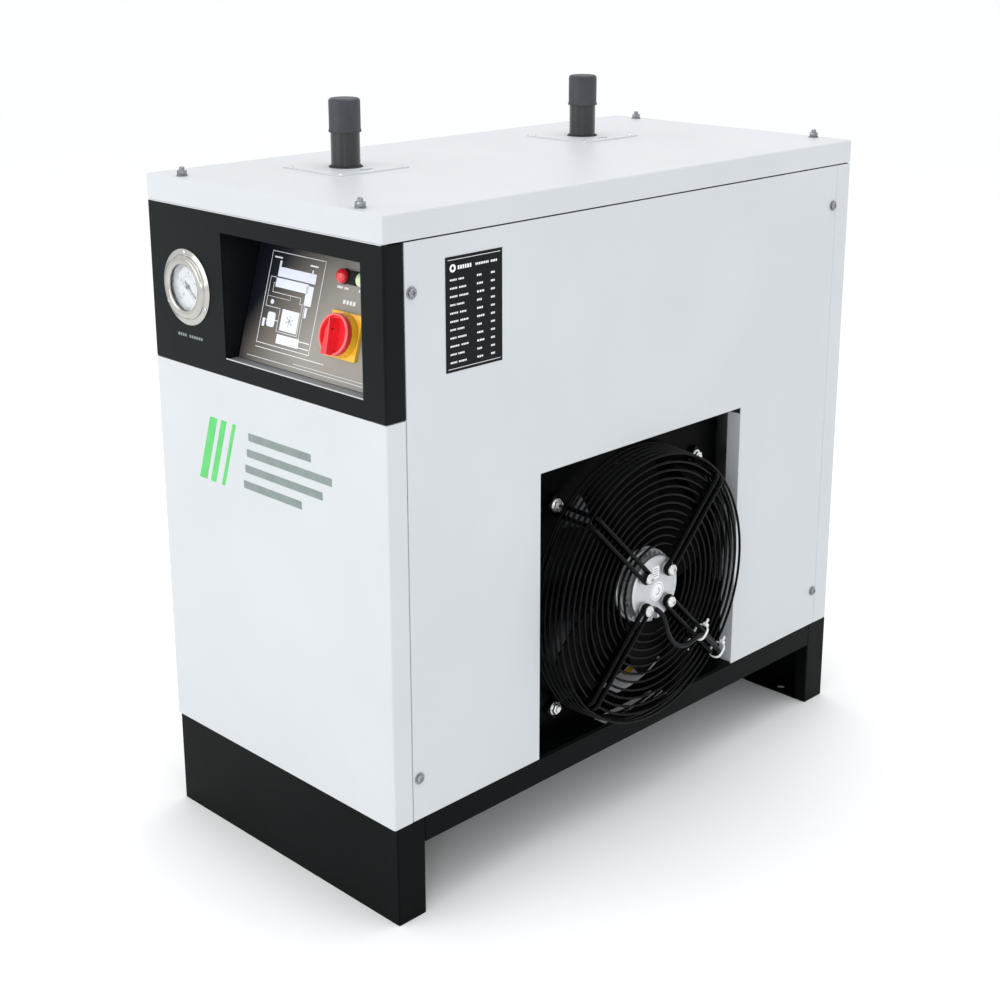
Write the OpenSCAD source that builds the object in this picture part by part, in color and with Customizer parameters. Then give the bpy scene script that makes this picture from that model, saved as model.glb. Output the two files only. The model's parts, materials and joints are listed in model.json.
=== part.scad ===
// Refrigerated air dryer in a sheet metal cabinet. Millimetres, +Z up.
// The origin lies on the floor, under the middle of the cabinet. -Y is the front with the controls,
// +X is the side with the condenser fan.

/* [Cabinet] */
// Width of the cabinet, along X
cab_w = 400; // [390:1:420]
// Depth of the cabinet, along Y
cab_d = 800; // [790:1:830]
// Height from the floor to the lid's top
cab_h = 780; // [775:1:800]
// Thickness of the casing's sheet metal
sheet = 1.5; // [1:0.1:1.8]
// Height of the black base
base_h = 117; // [110:1:118]
// Height of the rails between the base's feet
rail_h = 29.5; // [24:0.5:40]
// Depth of a foot channel, along Y
foot_d = 40; // [36:1:48]
// Height of the lid's skirt
lid_h = 28.5; // [24:0.5:30]
// Height of the black control fascia's lower edge
fascia_z = 570; // [566:1:572]
// How far the front panel wraps round the sides
front_wrap = 27; // [24:1:32]
// How far the rear panel wraps round the sides
rear_wrap = 29; // [24:1:32]

/* [Control opening] */
// Left edge of the opening in the fascia
open_x0 = -64.5; // [-68:0.5:-62]
// Right edge of the opening in the fascia
open_x1 = 165.5; // [164:0.5:168]
// Lower edge of the opening
open_z0 = 589.5; // [587:0.5:592]
// Upper edge of the opening
open_z1 = 729.5; // [728:0.5:731]
// How far the instrument panel leans back from upright, in degrees
panel_tilt = 16.36; // [15:0.02:17]

/* [Air pipes] */
// Outer radius of the 1 inch pipes
pipe_r = 16.7; // [15:0.1:17.5]
// X of both pipes
pipe_x = -70; // [-72:1:-68]
// Y of the inlet pipe
inlet_y = -218; // [-222:1:-214]
// Y of the outlet pipe
outlet_y = 182; // [178:1:186]

/* [Fan] */
// Y of the fan's axis
fan_y = 4; // [2:1:6]
// Height of the fan's axis
fan_z = 282; // [278:1:286]
// X of the outer ends of the guard's front wires
guard_x = 221; // [214:1:224]
// Radius of the guard's largest front ring
guard_r = 166; // [164:0.5:167]
// Radius on which the guard's four feet are bolted
guard_foot_r = 180; // [176:1:182]
// Radius of the blades' tips
blade_r = 148; // [140:1:149]

/* [Hidden] */
$fn = 48;

hx = cab_w / 2;
hy = cab_d / 2;
slip = 0.1;                 // gap between parts that are only bolted together
run = 0.05;                 // radial clearance of what turns or slides
lid_z = cab_h - lid_h;      // the skirt's lower edge
wall_top = lid_z - 1.5;     // top of the walls, under the skirt
deck_t = 2;
deck_z = base_h;
floor_z = deck_z + deck_t;  // the deck's upper face
anchor_x = 150;             // the four holes for floor bolts
anchor_y = 375;
anchor_r = 6;
base_y0 = -hy + 3.5;        // the base's front face lies a little behind the panel's
post_t = 2;
post_x = hx - sheet - slip; // outer faces of posts and rails
post_y = hy - sheet - slip;
side_leg = 48;              // the posts' leg behind a side panel
screw_dy = 36;              // the panel screws' distance from the cabinet's ends
screw_low = base_h + 50;
screw_high = 699;
notch_y0 = fan_y - 181;
notch_y1 = fan_y + 181;
notch_z = 466;
notch_lip = 20;
lid_bolt_x = 151;
lid_bolt_y = 385;
port_w = 102;
port_t = 1.5;
pipe_low = 700.2;
pipe_end_r = pipe_r - 0.3;
pipe_top = cab_h + 75;
cap_low = cab_h + 41;
cap_top = cab_h + 79;
cap_r = 18.7;
gauge_x = -131;
gauge_z = 660;
gauge_pcd = 79.4;
needle_rest = 132;          // degrees clockwise from upright
switch_x = 104;
switch_up = 52;             // heights on the sloped panel, from its lower edge
lamp_x = [86, 117];
lamp_up = 112;
panel_y = -hy + 16.4;       // the sloped panel's face at the opening's lower edge
panel_len = (open_z1 - open_z0) / cos(panel_tilt);
shroud_x = 168;             // face of the fan's mounting plate
core_x0 = 62;
core_x1 = 108;
bolt_d = guard_foot_r / sqrt(2);
hub_d = 20.75;              // half the spacing of the motor's four bolts
strut_wire = 2.75;
ring_wire = 1.6;
strut_gap = 6;              // half the distance between a strut's two wires
strut_x = guard_x + 1;      // centre of the struts' front wires
weld = 0.05;                // gap that stands for a weld between two wires
ring_x = strut_x - strut_wire - ring_wire - weld;
strut_bend = 5;             // radius of the bend at the rim
strut_lean = 7;             // degrees by which the legs spread towards the feet
strut_leg = 47;
strut_rim = guard_r - 9.5;  // where a strut's wires start to bend back
side_step = 7.6;            // spacing of the side rings
relief_w = 126;             // width of the room that the lowest wires need in the deck and the rail
lead_r = 3.1;
// the motor's lead: out of the hub's lower edge, down in a loop, along the lower right strut, into the plate
lead_route = [[0, -26, 219.2], [1, -28, 226], [4, -38, 230], [10, -56, 230], [20, -72, 230], [33, -82, 231],
    [48, -84, 232], [62, -80, 232], [76, -78, 231], [95, -95, 230.5], [113, -113, 230.5], [119, -119, 229],
    [124, -124, 222], [128, -128, 205], [134, -134, 190], [138, -138, 176], [138, -138, 168.3]];
tie_r = [111, 160.5];
plate_t = 3;
knob_z = plate_t + 0.3;     // underside of the knob, over the panel
hx_box = [[-126, -262, 540], [-14, 226, 690]];
line_top = 190.2;           // height of the refrigerant lines' ends over the compressor's base
comp_x = -90;
comp_y = 40;
comp_r = 76;
comp_z = floor_z + 24;
drain_y = 268;

// ---- shared shapes ----

module block(lo, hi) translate(lo) cube(hi - lo);
module to_x(at) translate(at) rotate([0, 90, 0]) children();
module to_y(at) translate(at) rotate([-90, 0, 0]) children();
module to_front(at) translate(at) rotate([90, 0, 0]) children();
module on_panel(x, up)
    translate([x, panel_y, open_z0]) rotate([90 - panel_tilt, 0, 0]) translate([0, up, 0]) children();
module at_gauge() to_front([gauge_x, -hy, gauge_z]) children();
module at_fan() translate([0, fan_y, fan_z]) rotate([90, 0, 90]) children();
module corners(dx, dy) for (sx = [-1, 1], sy = [-1, 1]) translate([sx * dx, sy * dy, 0]) children();
module both_sides() for (s = [0, 1]) mirror([s, 0, 0]) children();
module ring(r, wire) rotate_extrude() translate([r, 0]) circle(wire, $fn = 16);
// A round tube of 8 sides swept along a route
function route_dir(p, i) = let (d = p[min(i + 1, len(p) - 1)] - p[max(i - 1, 0)]) d / norm(d);
function route_ring(p, r, i, side) = let (d = route_dir(p, i), c = cross(d, side), a = c / norm(c))
    [for (k = [0 : 7]) p[i] + r * (cos(45 * k) * a + sin(45 * k) * cross(d, a))];
module sweep(p, r, side = [0.31, -0.42, 0.85]) {
    n = len(p);
    polyhedron(points = [for (i = [0 : n - 1]) each route_ring(p, r, i, side)],
        faces = concat([[for (k = [0 : 7]) k]], [[for (k = [7 : -1 : 0]) (n - 1) * 8 + k]],
            [for (i = [0 : n - 2], k = [0 : 7])
                [i * 8 + k, (i + 1) * 8 + k, (i + 1) * 8 + (k + 1) % 8, i * 8 + (k + 1) % 8]]));
}
// A screw that points along -Z from its head's seat at z = 0
module button_screw(head_r, head_h, washer_r, length) {
    cylinder(h = 1, r = washer_r, $fn = 32);
    translate([0, 0, 1]) intersection() {
        cylinder(h = head_h, r = head_r, $fn = 32);
        translate([0, 0, head_h - head_r * 1.25]) sphere(head_r * 1.25, $fn = 32);
    }
    translate([0, 0, -length]) cylinder(h = length, r = head_r * 0.5, $fn = 24);
}

// ---- base ----

module foot_channel(y0) {
    wall = 3;
    lip = 14;
    y1 = y0 + foot_d;
    color("#17191b") difference() {
        block([-hx, y0, 0], [hx, y1, base_h]);
        block([-hx + wall, y0 + wall, wall], [hx - wall, y1 - wall, base_h - wall]);
        block([-hx + wall + lip, y1 - wall - 1, wall], [hx - wall - lip, y1 + 1, base_h - wall]);
        for (s = [-1, 1]) translate([s * anchor_x, -anchor_y, -1]) cylinder(h = wall + 2, r = anchor_r);
    }
}
module base_front_foot() foot_channel(base_y0);
module base_rear_foot() mirror([0, 1, 0]) foot_channel(-hy);
module base_rail() {
    wall = 3;
    y0 = base_y0 + foot_d + slip;
    y1 = hy - foot_d - slip;
    z0 = base_h - rail_h;
    color("#17191b") difference() {
        block([hx - 40, y0, z0], [hx, y1, base_h]);
        block([hx - 41, y0 - 1, z0 + wall], [hx - wall, y1 + 1, base_h - wall]);
    }
}
// Room for the fan guard's lowest wires, cut through the deck's edge and the top of the right rail
module guard_relief()
    block([shroud_x + 4, fan_y - relief_w / 2, base_h - 6], [hx - 3, fan_y + relief_w / 2, floor_z + 1]);
module base_rail_right() difference() {
    base_rail();
    guard_relief();
}
module base_rail_left() mirror([1, 0, 0]) base_rail();
module base_deck() color("#17191b") difference() {
    block([-post_x, base_y0 + 1, deck_z], [post_x, post_y, floor_z]);
    guard_relief();
}

// ---- frame ----

module corner_post() {
    color("#b9bdc0") difference() {
        block([post_x - 25, post_y - side_leg, floor_z], [post_x, post_y, wall_top - 3]);
        block([post_x - 26, post_y - side_leg - 1, floor_z - 1],
            [post_x - post_t, post_y - post_t, wall_top]);
        for (z = [screw_low, screw_high])
            to_x([post_x - 5, hy - screw_dy, z]) cylinder(h = 10, r = 3, $fn = 24);
    }
}
module corner_posts() for (sy = [0, 1]) mirror([0, sy, 0]) both_sides() corner_post();
module top_rails() {
    z1 = wall_top - 3;
    y1 = post_y - side_leg - slip;
    x1 = post_x - 25 - slip;
    color("#b9bdc0") {
        both_sides() difference() {
            block([post_x - 20, -y1, z1 - 20], [post_x, y1, z1]);
            block([post_x - 21, -y1 - 1, z1 - 21], [post_x - post_t, y1 + 1, z1 - post_t]);
        }
        for (s = [0, 1]) mirror([0, s, 0]) difference() {
            block([-x1, post_y - 22, z1 - 15], [x1, post_y, z1]);
            block([-x1 - 1, post_y - 23, z1 - 16], [x1 + 1, post_y - post_t, z1 - post_t]);
            for (s = [-1, 1]) translate([s * lid_bolt_x, lid_bolt_y, z1 - 5]) cylinder(h = 9, r = 3.2);
        }
    }
}

// ---- casing ----

// A panel across an end of the cabinet, with flanges round both sides
module end_panel(z0, z1, wrap) difference() {
    block([-hx, -hy, z0], [hx, -hy + wrap, z1]);
    block([-hx + sheet, -hy + sheet, z0 - 1], [hx - sheet, -hy + wrap + 1, z1 + 1]);
}
module front_panel() color("#e9ecee") end_panel(base_h + 0.5, fascia_z - 0.8, front_wrap);
module control_fascia() color("#1c1f22") difference() {
    end_panel(fascia_z, wall_top, front_wrap);
    block([open_x0, -hy - 1, open_z0], [open_x1, -hy + 3, open_z1]);
    at_gauge() {
        translate([0, 0, -5]) cylinder(h = 10, r = 32.4);
        for (a = [90, 210, 330]) rotate(a) translate([gauge_pcd / 2, 0, -5]) cylinder(h = 10, r = 1.6);
    }
}
module behind_panel(depth) on_panel(open_x0 - 40, -60) translate([0, 0, -200])
    cube([open_x1 - open_x0 + 80, panel_len + 120, 200 - depth]);
module control_pocket() color("#1c1f22") difference() {
    y0 = -hy + sheet + slip;
    union() {
        block([open_x0 - sheet, y0, open_z0 - sheet], [open_x1 + sheet, y0 + 70, open_z1 + sheet]);
        block([open_x0 - 10, y0, open_z0 - 8], [open_x1 + 6, y0 + sheet, open_z1 + 1.4]);
    }
    block([open_x0, y0 - 1, open_z0], [open_x1, y0 + 80, open_z1]);
    behind_panel(0);
}
module instrument_panel() color("#8f8780") difference() {
    on_panel(open_x0 - sheet, -2) translate([0, 0, -sheet])
        cube([open_x1 - open_x0 + 2 * sheet, panel_len + 4, sheet]);
    for (x = lamp_x) on_panel(x, lamp_up) translate([0, 0, -5]) cylinder(h = 10, r = 6.1);
    on_panel(switch_x, switch_up) translate([0, 0, -5]) cylinder(h = 10, r = 6);
}
module side_panel_blank() difference() {
    block([hx - sheet, -hy + front_wrap + 0.5, base_h + 0.5], [hx, hy - rear_wrap - 0.5, wall_top]);
    for (s = [-1, 1], z = [screw_low, screw_high])
        to_x([hx - 5, s * (hy - screw_dy), z]) cylinder(h = 10, r = 3.1, $fn = 24);
}
module side_panel_right() color("#e3e8ed") {
    difference() {
        side_panel_blank();
        block([hx - 5, notch_y0, base_h - 1], [hx + 1, notch_y1, notch_z]);
    }
    // return flanges round the notch
    for (y = [notch_y0 - sheet, notch_y1])
        block([hx - notch_lip, y, floor_z + 0.5], [hx - sheet, y + sheet, notch_z - 8]);
    block([hx - notch_lip, notch_y0 + 4, notch_z], [hx - sheet, notch_y1 - 4, notch_z + sheet]);
}
module side_panel_left() color("#e3e8ed") difference() {
    mirror([1, 0, 0]) side_panel_blank();
    // air intake slots
    for (col = [-1, 0, 1], row = [0 : 11])
        translate([-hx - 1, fan_y + col * 84 - 36, 170 + row * 18]) cube([4, 72, 5]);
}
module rear_panel() color("#e3e8ed") difference() {
    mirror([0, 1, 0]) end_panel(base_h + 0.5, wall_top, rear_wrap);
    to_y([-60, hy - 5, 170]) cylinder(h = 10, r = 6.6);
    to_y([120, hy - 5, 190]) cylinder(h = 10, r = 10.1);
}
module lid() color("#eef1f3") difference() {
    block([-hx, -hy, lid_z], [hx, hy, cab_h]);
    block([-hx + sheet, -hy + sheet, lid_z - 1], [hx - sheet, hy - sheet, cab_h - sheet]);
    for (y = [inlet_y, outlet_y]) translate([pipe_x, y, cab_h - 10]) cylinder(h = 20, r = 30);
    translate([0, 0, cab_h - 10]) corners(lid_bolt_x, lid_bolt_y) cylinder(h = 20, r = 3.2);
    for (y = [inlet_y, outlet_y]) translate([pipe_x, y, cab_h - 10])
        corners(port_w / 2 - 7, port_w / 2 - 7) cylinder(h = 20, r = 1.5, $fn = 24);
}
module port_plates() color("#eef1f3")
    for (y = [inlet_y, outlet_y]) translate([pipe_x, y, cab_h]) difference() {
        translate([-port_w / 2, -port_w / 2, 0]) cube([port_w, port_w, port_t]);
        translate([0, 0, -1]) cylinder(h = port_t + 2, r = 20);
        translate([0, 0, -1]) corners(port_w / 2 - 7, port_w / 2 - 7) cylinder(h = 5, r = 1.5, $fn = 24);
    }
module port_plate_screws() color("#c8ccd0")
    for (y = [inlet_y, outlet_y]) translate([pipe_x, y, cab_h + port_t])
        corners(port_w / 2 - 7, port_w / 2 - 7) {
            cylinder(h = 1.6, r = 2.8, $fn = 24);
            translate([0, 0, -6]) cylinder(h = 6, r = 1.4, $fn = 24);
        }
module lid_bolts() color("#d3d6d9") translate([0, 0, cab_h]) corners(lid_bolt_x, lid_bolt_y) {
    cylinder(h = 1.2, r = 6.5, $fn = 32);
    translate([0, 0, 1.2]) cylinder(h = 5, r = 5, $fn = 6);
    translate([0, 0, 6.2]) cylinder(h = 4, r = 2.9, $fn = 24);
    translate([0, 0, wall_top - 8 - cab_h]) cylinder(h = cab_h - wall_top + 8, r = 3, $fn = 24);
}
module panel_screws() color("#d3d6d9") for (s = [-1, 1], e = [-1, 1], z = [screw_low, screw_high])
    translate([s * hx, e * (hy - screw_dy), z]) rotate([0, s * 90, 0]) button_screw(5.4, 3.2, 6.6, 10);
module rating_plate() color("#141516") block([hx, -318, 607.5], [hx + 0.5, -237.5, 727.5]);

// ---- air pipes ----

module pipe_grommets() color("#101214")
    for (y = [inlet_y, outlet_y]) translate([pipe_x, y, cab_h]) difference() {
        union() {
            translate([0, 0, port_t]) cylinder(h = 1.8, r = 19.6);
            translate([0, 0, -3]) cylinder(h = 5, r = 19.6);
        }
        translate([0, 0, -4]) cylinder(h = 10, r = pipe_end_r + run);
    }
// Each pipe rises from the exchanger's top. The stretch between the grommet and the cap is the full size.
module air_pipe(y) color("#26282a") difference() {
    union() {
        translate([pipe_x, y, pipe_low]) cylinder(h = pipe_top - pipe_low, r = pipe_end_r);
        translate([pipe_x, y, cab_h + 4.5]) cylinder(h = 35, r = pipe_r);
    }
    translate([pipe_x, y, pipe_low - 10]) cylinder(h = 200, r = pipe_r - 3.4);
}
module inlet_pipe() air_pipe(inlet_y);
module outlet_pipe() air_pipe(outlet_y);
module pipe_cap(y) color("#2c2f31") translate([pipe_x, y, 0]) difference() {
    rotate_extrude() polygon([[0, cap_low], [cap_r, cap_low], [cap_r - 0.5, cap_top - 4],
        [cap_r - 1.8, cap_top - 1.2], [cap_r - 4, cap_top], [cap_r - 6, cap_top - 1], [0, cap_top - 1]]);
    translate([0, 0, cap_low - 1]) cylinder(h = pipe_top + 0.1 - cap_low + 1, r = pipe_end_r + run);
}
module inlet_cap() pipe_cap(inlet_y);
module outlet_cap() pipe_cap(outlet_y);

// ---- gauge ----

module gauge_case() color("#2b2d2f") at_gauge() {
    difference() {
        translate([0, 0, -32]) cylinder(h = 34.4, r = 31.9);
        translate([0, 0, -30]) cylinder(h = 40, r = 30.5);
    }
    translate([0, 0, -30.5]) cylinder(h = 27.3, r = 7);
    translate([0, 0, -4]) cylinder(h = 4.6, r = 0.75, $fn = 24);
    translate([0, 0, -48]) cylinder(h = 16.5, r = 6.5);
}
module gauge_bezel() color("#cfd2d4") at_gauge() difference() {
    rotate_extrude($fn = 96) polygon([[32, 0], [43, 0], [43, 1.2], [37, 1.4], [36.4, 3.6], [35, 4],
        [34.2, 6], [28, 6.2], [26.4, 5], [26.4, 4], [32, 4]]);
    for (a = [90, 210, 330]) rotate(a) translate([gauge_pcd / 2, 0, -1]) cylinder(h = 4, r = 1.6, $fn = 24);
}
module gauge_lens() color("#dfe8ee", 0.4) at_gauge() translate([0, 0, 2.5]) cylinder(h = 1.4, r = 31.8);
module gauge_dial() color("#f4f5f5") at_gauge() translate([0, 0, -3.2]) difference() {
    cylinder(h = 0.8, r = 30.3);
    translate([0, 0, -1]) cylinder(h = 3, r = 1.6, $fn = 24);
}
module gauge_needle() color("#1a1a1a") at_gauge() translate([0, 0, -1.6]) difference() {
    union() {
        cylinder(h = 1.8, r = 2.4, $fn = 32);
        rotate(-needle_rest) linear_extrude(0.6)
            polygon([[-1.1, -8], [1.1, -8], [0.9, 0], [0.35, 18], [-0.35, 18], [-0.9, 0]]);
    }
    translate([0, 0, -1]) cylinder(h = 5, r = 0.75 + run, $fn = 24);
}
module gauge_screws() color("#c8ccd0") at_gauge()
    for (a = [90, 210, 330]) rotate(a) translate([gauge_pcd / 2, 0, 1.45]) {
        cylinder(h = 1.5, r = 2.3, $fn = 24);
        translate([0, 0, -7]) cylinder(h = 7, r = 1.4, $fn = 24);
    }

// ---- switch and lamps ----

module switch_plate() color("#f0b323") on_panel(switch_x, switch_up) difference() {
    translate([-25.5, -25.5, 0]) cube([51, 51, plate_t]);
    translate([0, 0, -1]) cylinder(h = plate_t + 2, r = 4 + run);
}
// The knob and its shaft turn together; its grip stands upright when the dryer is off
module switch_knob() color("#d8232e") on_panel(switch_x, switch_up) {
    translate([0, 0, knob_z]) cylinder(h = 10, r = 21);
    translate([0, 0, knob_z + 9.9]) cylinder(h = 4.5, r = 22.4);
    translate([-5, -21, knob_z + 14]) cube([10, 42, 9.5]);
    translate([0, 0, -16]) cylinder(h = 16 + knob_z + 1, r = 4);
}
module switch_body() color("#202224") on_panel(switch_x, switch_up) difference() {
    translate([-22, -22, -52]) cube([44, 44, 52 - sheet]);
    translate([0, 0, -17]) cylinder(h = 20, r = 4 + run);
}
module lamp_head(x, tint) color(tint) on_panel(x, lamp_up) {
    cylinder(h = 7, r = 8.5);
    translate([0, 0, 7]) intersection() {
        cylinder(h = 3.5, r = 8);
        translate([0, 0, 3.5 - 11]) sphere(11);
    }
    translate([0, 0, -sheet - 2]) cylinder(h = sheet + 3, r = 5.9);
}
module lamp_red() lamp_head(lamp_x[0], "#e0202c");
module lamp_green() lamp_head(lamp_x[1], "#a9d8a0");
module lamp_sockets() color("#202224") for (x = lamp_x) on_panel(x, lamp_up) {
    translate([0, 0, -sheet - 28]) cylinder(h = 25.9, r = 7);
    for (s = [-1, 1]) translate([s * 3 - 1.4, -0.4, -sheet - 34]) cube([2.8, 0.8, 7]);
}

// ---- fan ----

module fan_shroud() color("#15171a") difference() {
    y0 = notch_y0 + 6;
    y1 = notch_y1 - 6;
    z0 = floor_z + 0.5;
    z1 = notch_z - 6;
    union() {
        difference() {
            block([core_x1 + slip, y0, z0], [shroud_x, y1, z1]);
            block([core_x1 - 1, y0 + sheet, z0 + sheet], [shroud_x - 2, y1 - sheet, z1 - sheet]);
        }
        at_fan() translate([0, 0, shroud_x - 40]) cylinder(h = 40, r = blade_r + 6, $fn = 128);
    }
    at_fan() translate([0, 0, 50]) cylinder(h = 150, r = blade_r + 4, $fn = 128);
    at_fan() translate([0, 0, shroud_x - 10]) corners(bolt_d, bolt_d) cylinder(h = 20, r = 4.1, $fn = 24);
}
// One of the guard's struts lies along local +X: two wires from the hub to the rim, then back to the foot
module guard_strut() {
    hub = hub_d * sqrt(2);
    for (s = [-1, 1]) translate([0, s * strut_gap, 0]) {
        translate([hub, 0, strut_x]) rotate([0, 90, 0])
            cylinder(h = strut_rim - hub - weld, r = strut_wire, $fn = 16);
        translate([strut_rim, 0, strut_x - strut_bend]) {
            rotate([90, -strut_lean, 0]) rotate_extrude(angle = 90 - strut_lean)
                translate([strut_bend, 0]) circle(strut_wire, $fn = 16);
            rotate([0, -strut_lean, 0]) translate([strut_bend, 0, -strut_leg])
                cylinder(h = strut_leg, r = strut_wire, $fn = 16);
        }
    }
    translate([hub, 0, strut_x]) rotate(90) rotate_extrude(angle = 180)
        translate([strut_gap, 0]) circle(strut_wire, $fn = 16);
    translate([guard_foot_r, 0, shroud_x]) difference() {
        translate([-16, -9, 0]) cube([26, 18, 5]);
        translate([0, 0, -1]) cylinder(h = 8, r = 4.2, $fn = 24);
    }
}
module fan_guard() color("#0d0e10") at_fan() {
    for (a = [45 : 90 : 315]) rotate(a) guard_strut();
    for (r = [guard_r : -10 : 55]) translate([0, 0, ring_x]) ring(r, ring_wire);
    for (k = [1 : 5]) translate([0, 0, ring_x - side_step * k])
        ring(guard_r + side_step * k * tan(strut_lean), ring_wire);
}
module fan_guard_bolts() color("#c8ccd0") at_fan() corners(bolt_d, bolt_d) {
    translate([0, 0, shroud_x + 5]) cylinder(h = 1.4, r = 8.5, $fn = 32);
    translate([0, 0, shroud_x + 6.4]) cylinder(h = 5.5, r = 7.2, $fn = 6);
    translate([0, 0, shroud_x - 8]) cylinder(h = 13.2, r = 4, $fn = 24);
}
// The motor's stator end: a ribbed casting with four bosses, and the spindle on which the rotor runs
module fan_motor() color("#b7bbbd") at_fan() difference() {
    union() {
        translate([0, 0, 208]) cylinder(h = 11, r = 41, $fn = 96);
        translate([0, 0, 203]) cylinder(h = 5.2, r = 37, $fn = 64);
        translate([0, 0, 200]) cylinder(h = 3.2, r = 46, $fn = 96);
        translate([0, 0, 197]) cylinder(h = 3.2, r = 41, $fn = 64);
        translate([0, 0, 193]) cylinder(h = 4.2, r = 46.5, $fn = 96);
        translate([0, 0, 190]) cylinder(h = 3.2, r = 20);
        translate([0, 0, 128]) cylinder(h = 62.5, r = 6);
    }
    translate([0, 0, 209]) corners(hub_d, hub_d) cylinder(h = 20, r = 3.3, $fn = 24);
}
module fan_blade() intersection() {
    difference() {
        translate([0, 0, 130]) cylinder(h = 52, r = blade_r, $fn = 128);
        translate([0, 0, 120]) cylinder(h = 80, r = 44.5, $fn = 64);
    }
    translate([0, 0, 156]) rotate([28, 0, 0]) translate([0, 0, -1])
        linear_extrude(2.2) polygon([[40, -30], [70, -44], [110, -52], [150, -50], [158, -20], [156, 30],
            [130, 36], [90, 34], [40, 26]]);
}
module fan_rotor() color("#1b1e21") at_fan() difference() {
    union() {
        translate([0, 0, 132]) cylinder(h = 56, r = 46, $fn = 96);
        for (i = [0 : 4]) rotate(72 * i + 82) fan_blade();
    }
    translate([0, 0, 120]) cylinder(h = 80, r = 6 + run);
    translate([0, 0, 150]) difference() {
        cylinder(h = 40, r = 42, $fn = 64);
        translate([0, 0, -1]) cylinder(h = 42, r = 14);
    }
}
module fan_hub_bolts() color("#d3d6d9") at_fan() translate([0, 0, strut_x + strut_wire + 0.1])
    corners(hub_d, hub_d) button_screw(6.4, 4.6, 7.4, 15);
module fan_lead() color("#0e0f11") at_fan() sweep(lead_route, lead_r);
module cable_ties() color("#e8eaea") at_fan() for (r = tie_r) rotate(-45) translate([r, 0, 0]) {
    z0 = strut_x - strut_wire - 0.3;
    z1 = 230.8 + lead_r + 1;
    y1 = strut_gap + strut_wire + 0.4;
    difference() {
        translate([-2, -y1 - 1.2, z0 - 1.2]) cube([4, 2 * y1 + 2.4, z1 - z0 + 2.4]);
        translate([-3, -y1, z0]) cube([6, 2 * y1, z1 - z0]);
        translate([-3, -y1 - 2, z0 - 3]) cube([6, 2 * y1 + 4, 3.2]);
    }
    translate([-3, y1 + 1.2, z1 - 7]) cube([6, 3.5, 6]);
    translate([-2, y1 + 4.7, z1 - 5]) cube([4, 7, 1.4]);
}

// ---- refrigeration ----

module condenser() color("#a9adb0") {
    y0 = notch_y0 + 14;
    y1 = notch_y1 - 14;
    z0 = floor_z + 6;
    z1 = 452;
    block([core_x0 + 4, y0, z0 + 4], [core_x1 - 3, y1, z1 - 4]);
    for (y = [y0 - 2, y1]) block([core_x0, y, z0], [core_x1, y + 2, z1]);
    for (y = [y0 - 2, y1 + 2], k = [0 : 5])
        translate([(core_x0 + core_x1) / 2, y, z0 + 32 + 50 * k]) rotate([0, 90, y > 0 ? 0 : 180])
            rotate_extrude(angle = 180) translate([12.5, 0]) circle(4.8, $fn = 24);
    for (z = [z0, z1 - 2]) block([core_x0, y0, z], [core_x1, y1, z + 2]);
}
module compressor() color("#1a1c1e") {
    translate([comp_x, comp_y, 0]) rotate_extrude($fn = 96) polygon(concat([[0, comp_z]],
        [for (a = [-90 : 15 : 0]) [comp_r - 30 + 30 * cos(a), comp_z + 30 + 30 * sin(a)]],
        [[comp_r, comp_z + 92], [comp_r + 3, comp_z + 92], [comp_r + 3, comp_z + 97], [comp_r, comp_z + 97]],
        [for (a = [0 : 15 : 90]) [comp_r - 40 + 40 * cos(a), comp_z + 150 + 40 * sin(a)]],
        [[0, comp_z + 190]]));
    difference() {
        block([comp_x - 88, comp_y - 88, comp_z - 4], [comp_x + 88, comp_y + 88, comp_z + 1]);
        translate([comp_x, comp_y, comp_z - 10]) corners(76, 76) cylinder(h = 20, r = 8.1);
    }
    block([comp_x + comp_r - 4, comp_y - 30, comp_z + 60], [comp_x + comp_r + 26, comp_y + 30, comp_z + 130]);
}
module compressor_mounts() color("#101214") translate([comp_x, comp_y, floor_z]) corners(76, 76) {
    cylinder(h = comp_z - 4.1 - floor_z, r = 14);
    cylinder(h = comp_z + 10 - floor_z, r = 8);
}
module heat_exchanger() color("#26292b") {
    block(hx_box[0], hx_box[1]);
    for (y = [inlet_y, outlet_y]) translate([pipe_x, y, 689]) cylinder(h = 11, r = pipe_r + 5);
}
module heat_exchanger_brackets() color("#b9bdc0") for (y = [-240, 150]) {
    block([-post_x + 0.5, y, 536], [-10, y + 30, 539.8]);
    block([-post_x + 0.5, y, 500], [-post_x + 4, y + 30, 539.8]);
    block([-10, y, 500], [-7, y + 30, 539.8]);
}
module moisture_separator() color("#b7bbbd") translate([pipe_x, drain_y, 0]) {
    rotate_extrude($fn = 64) polygon([[0, 330], [20, 330], [34, 344], [34, 600], [38, 600], [38, 620],
        [34, 620], [30, 640], [0, 648]]);
    to_y([0, -41.8, 610]) cylinder(h = 20, r = 12);
}
module drain_valve() color("#c9a24c") translate([pipe_x, drain_y, 0]) {
    translate([0, 0, 300]) cylinder(h = 29.8, r = 9);
    translate([-18, -18, 262]) cube([36, 36, 38.5]);
    translate([0, 0, 246]) cylinder(h = 17, r = 5);
}
module drain_hose() color("#3a5f8a") sweep([[pipe_x, drain_y, 245.8], [pipe_x, drain_y, 215],
    [pipe_x + 1, drain_y + 5, 196], [pipe_x + 4, drain_y + 22, 180], [-63, 310, 172], [-60, 330, 170],
    [-60, hy - 22.2, 170]], 4.5, [1, 0, 0]);
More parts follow.
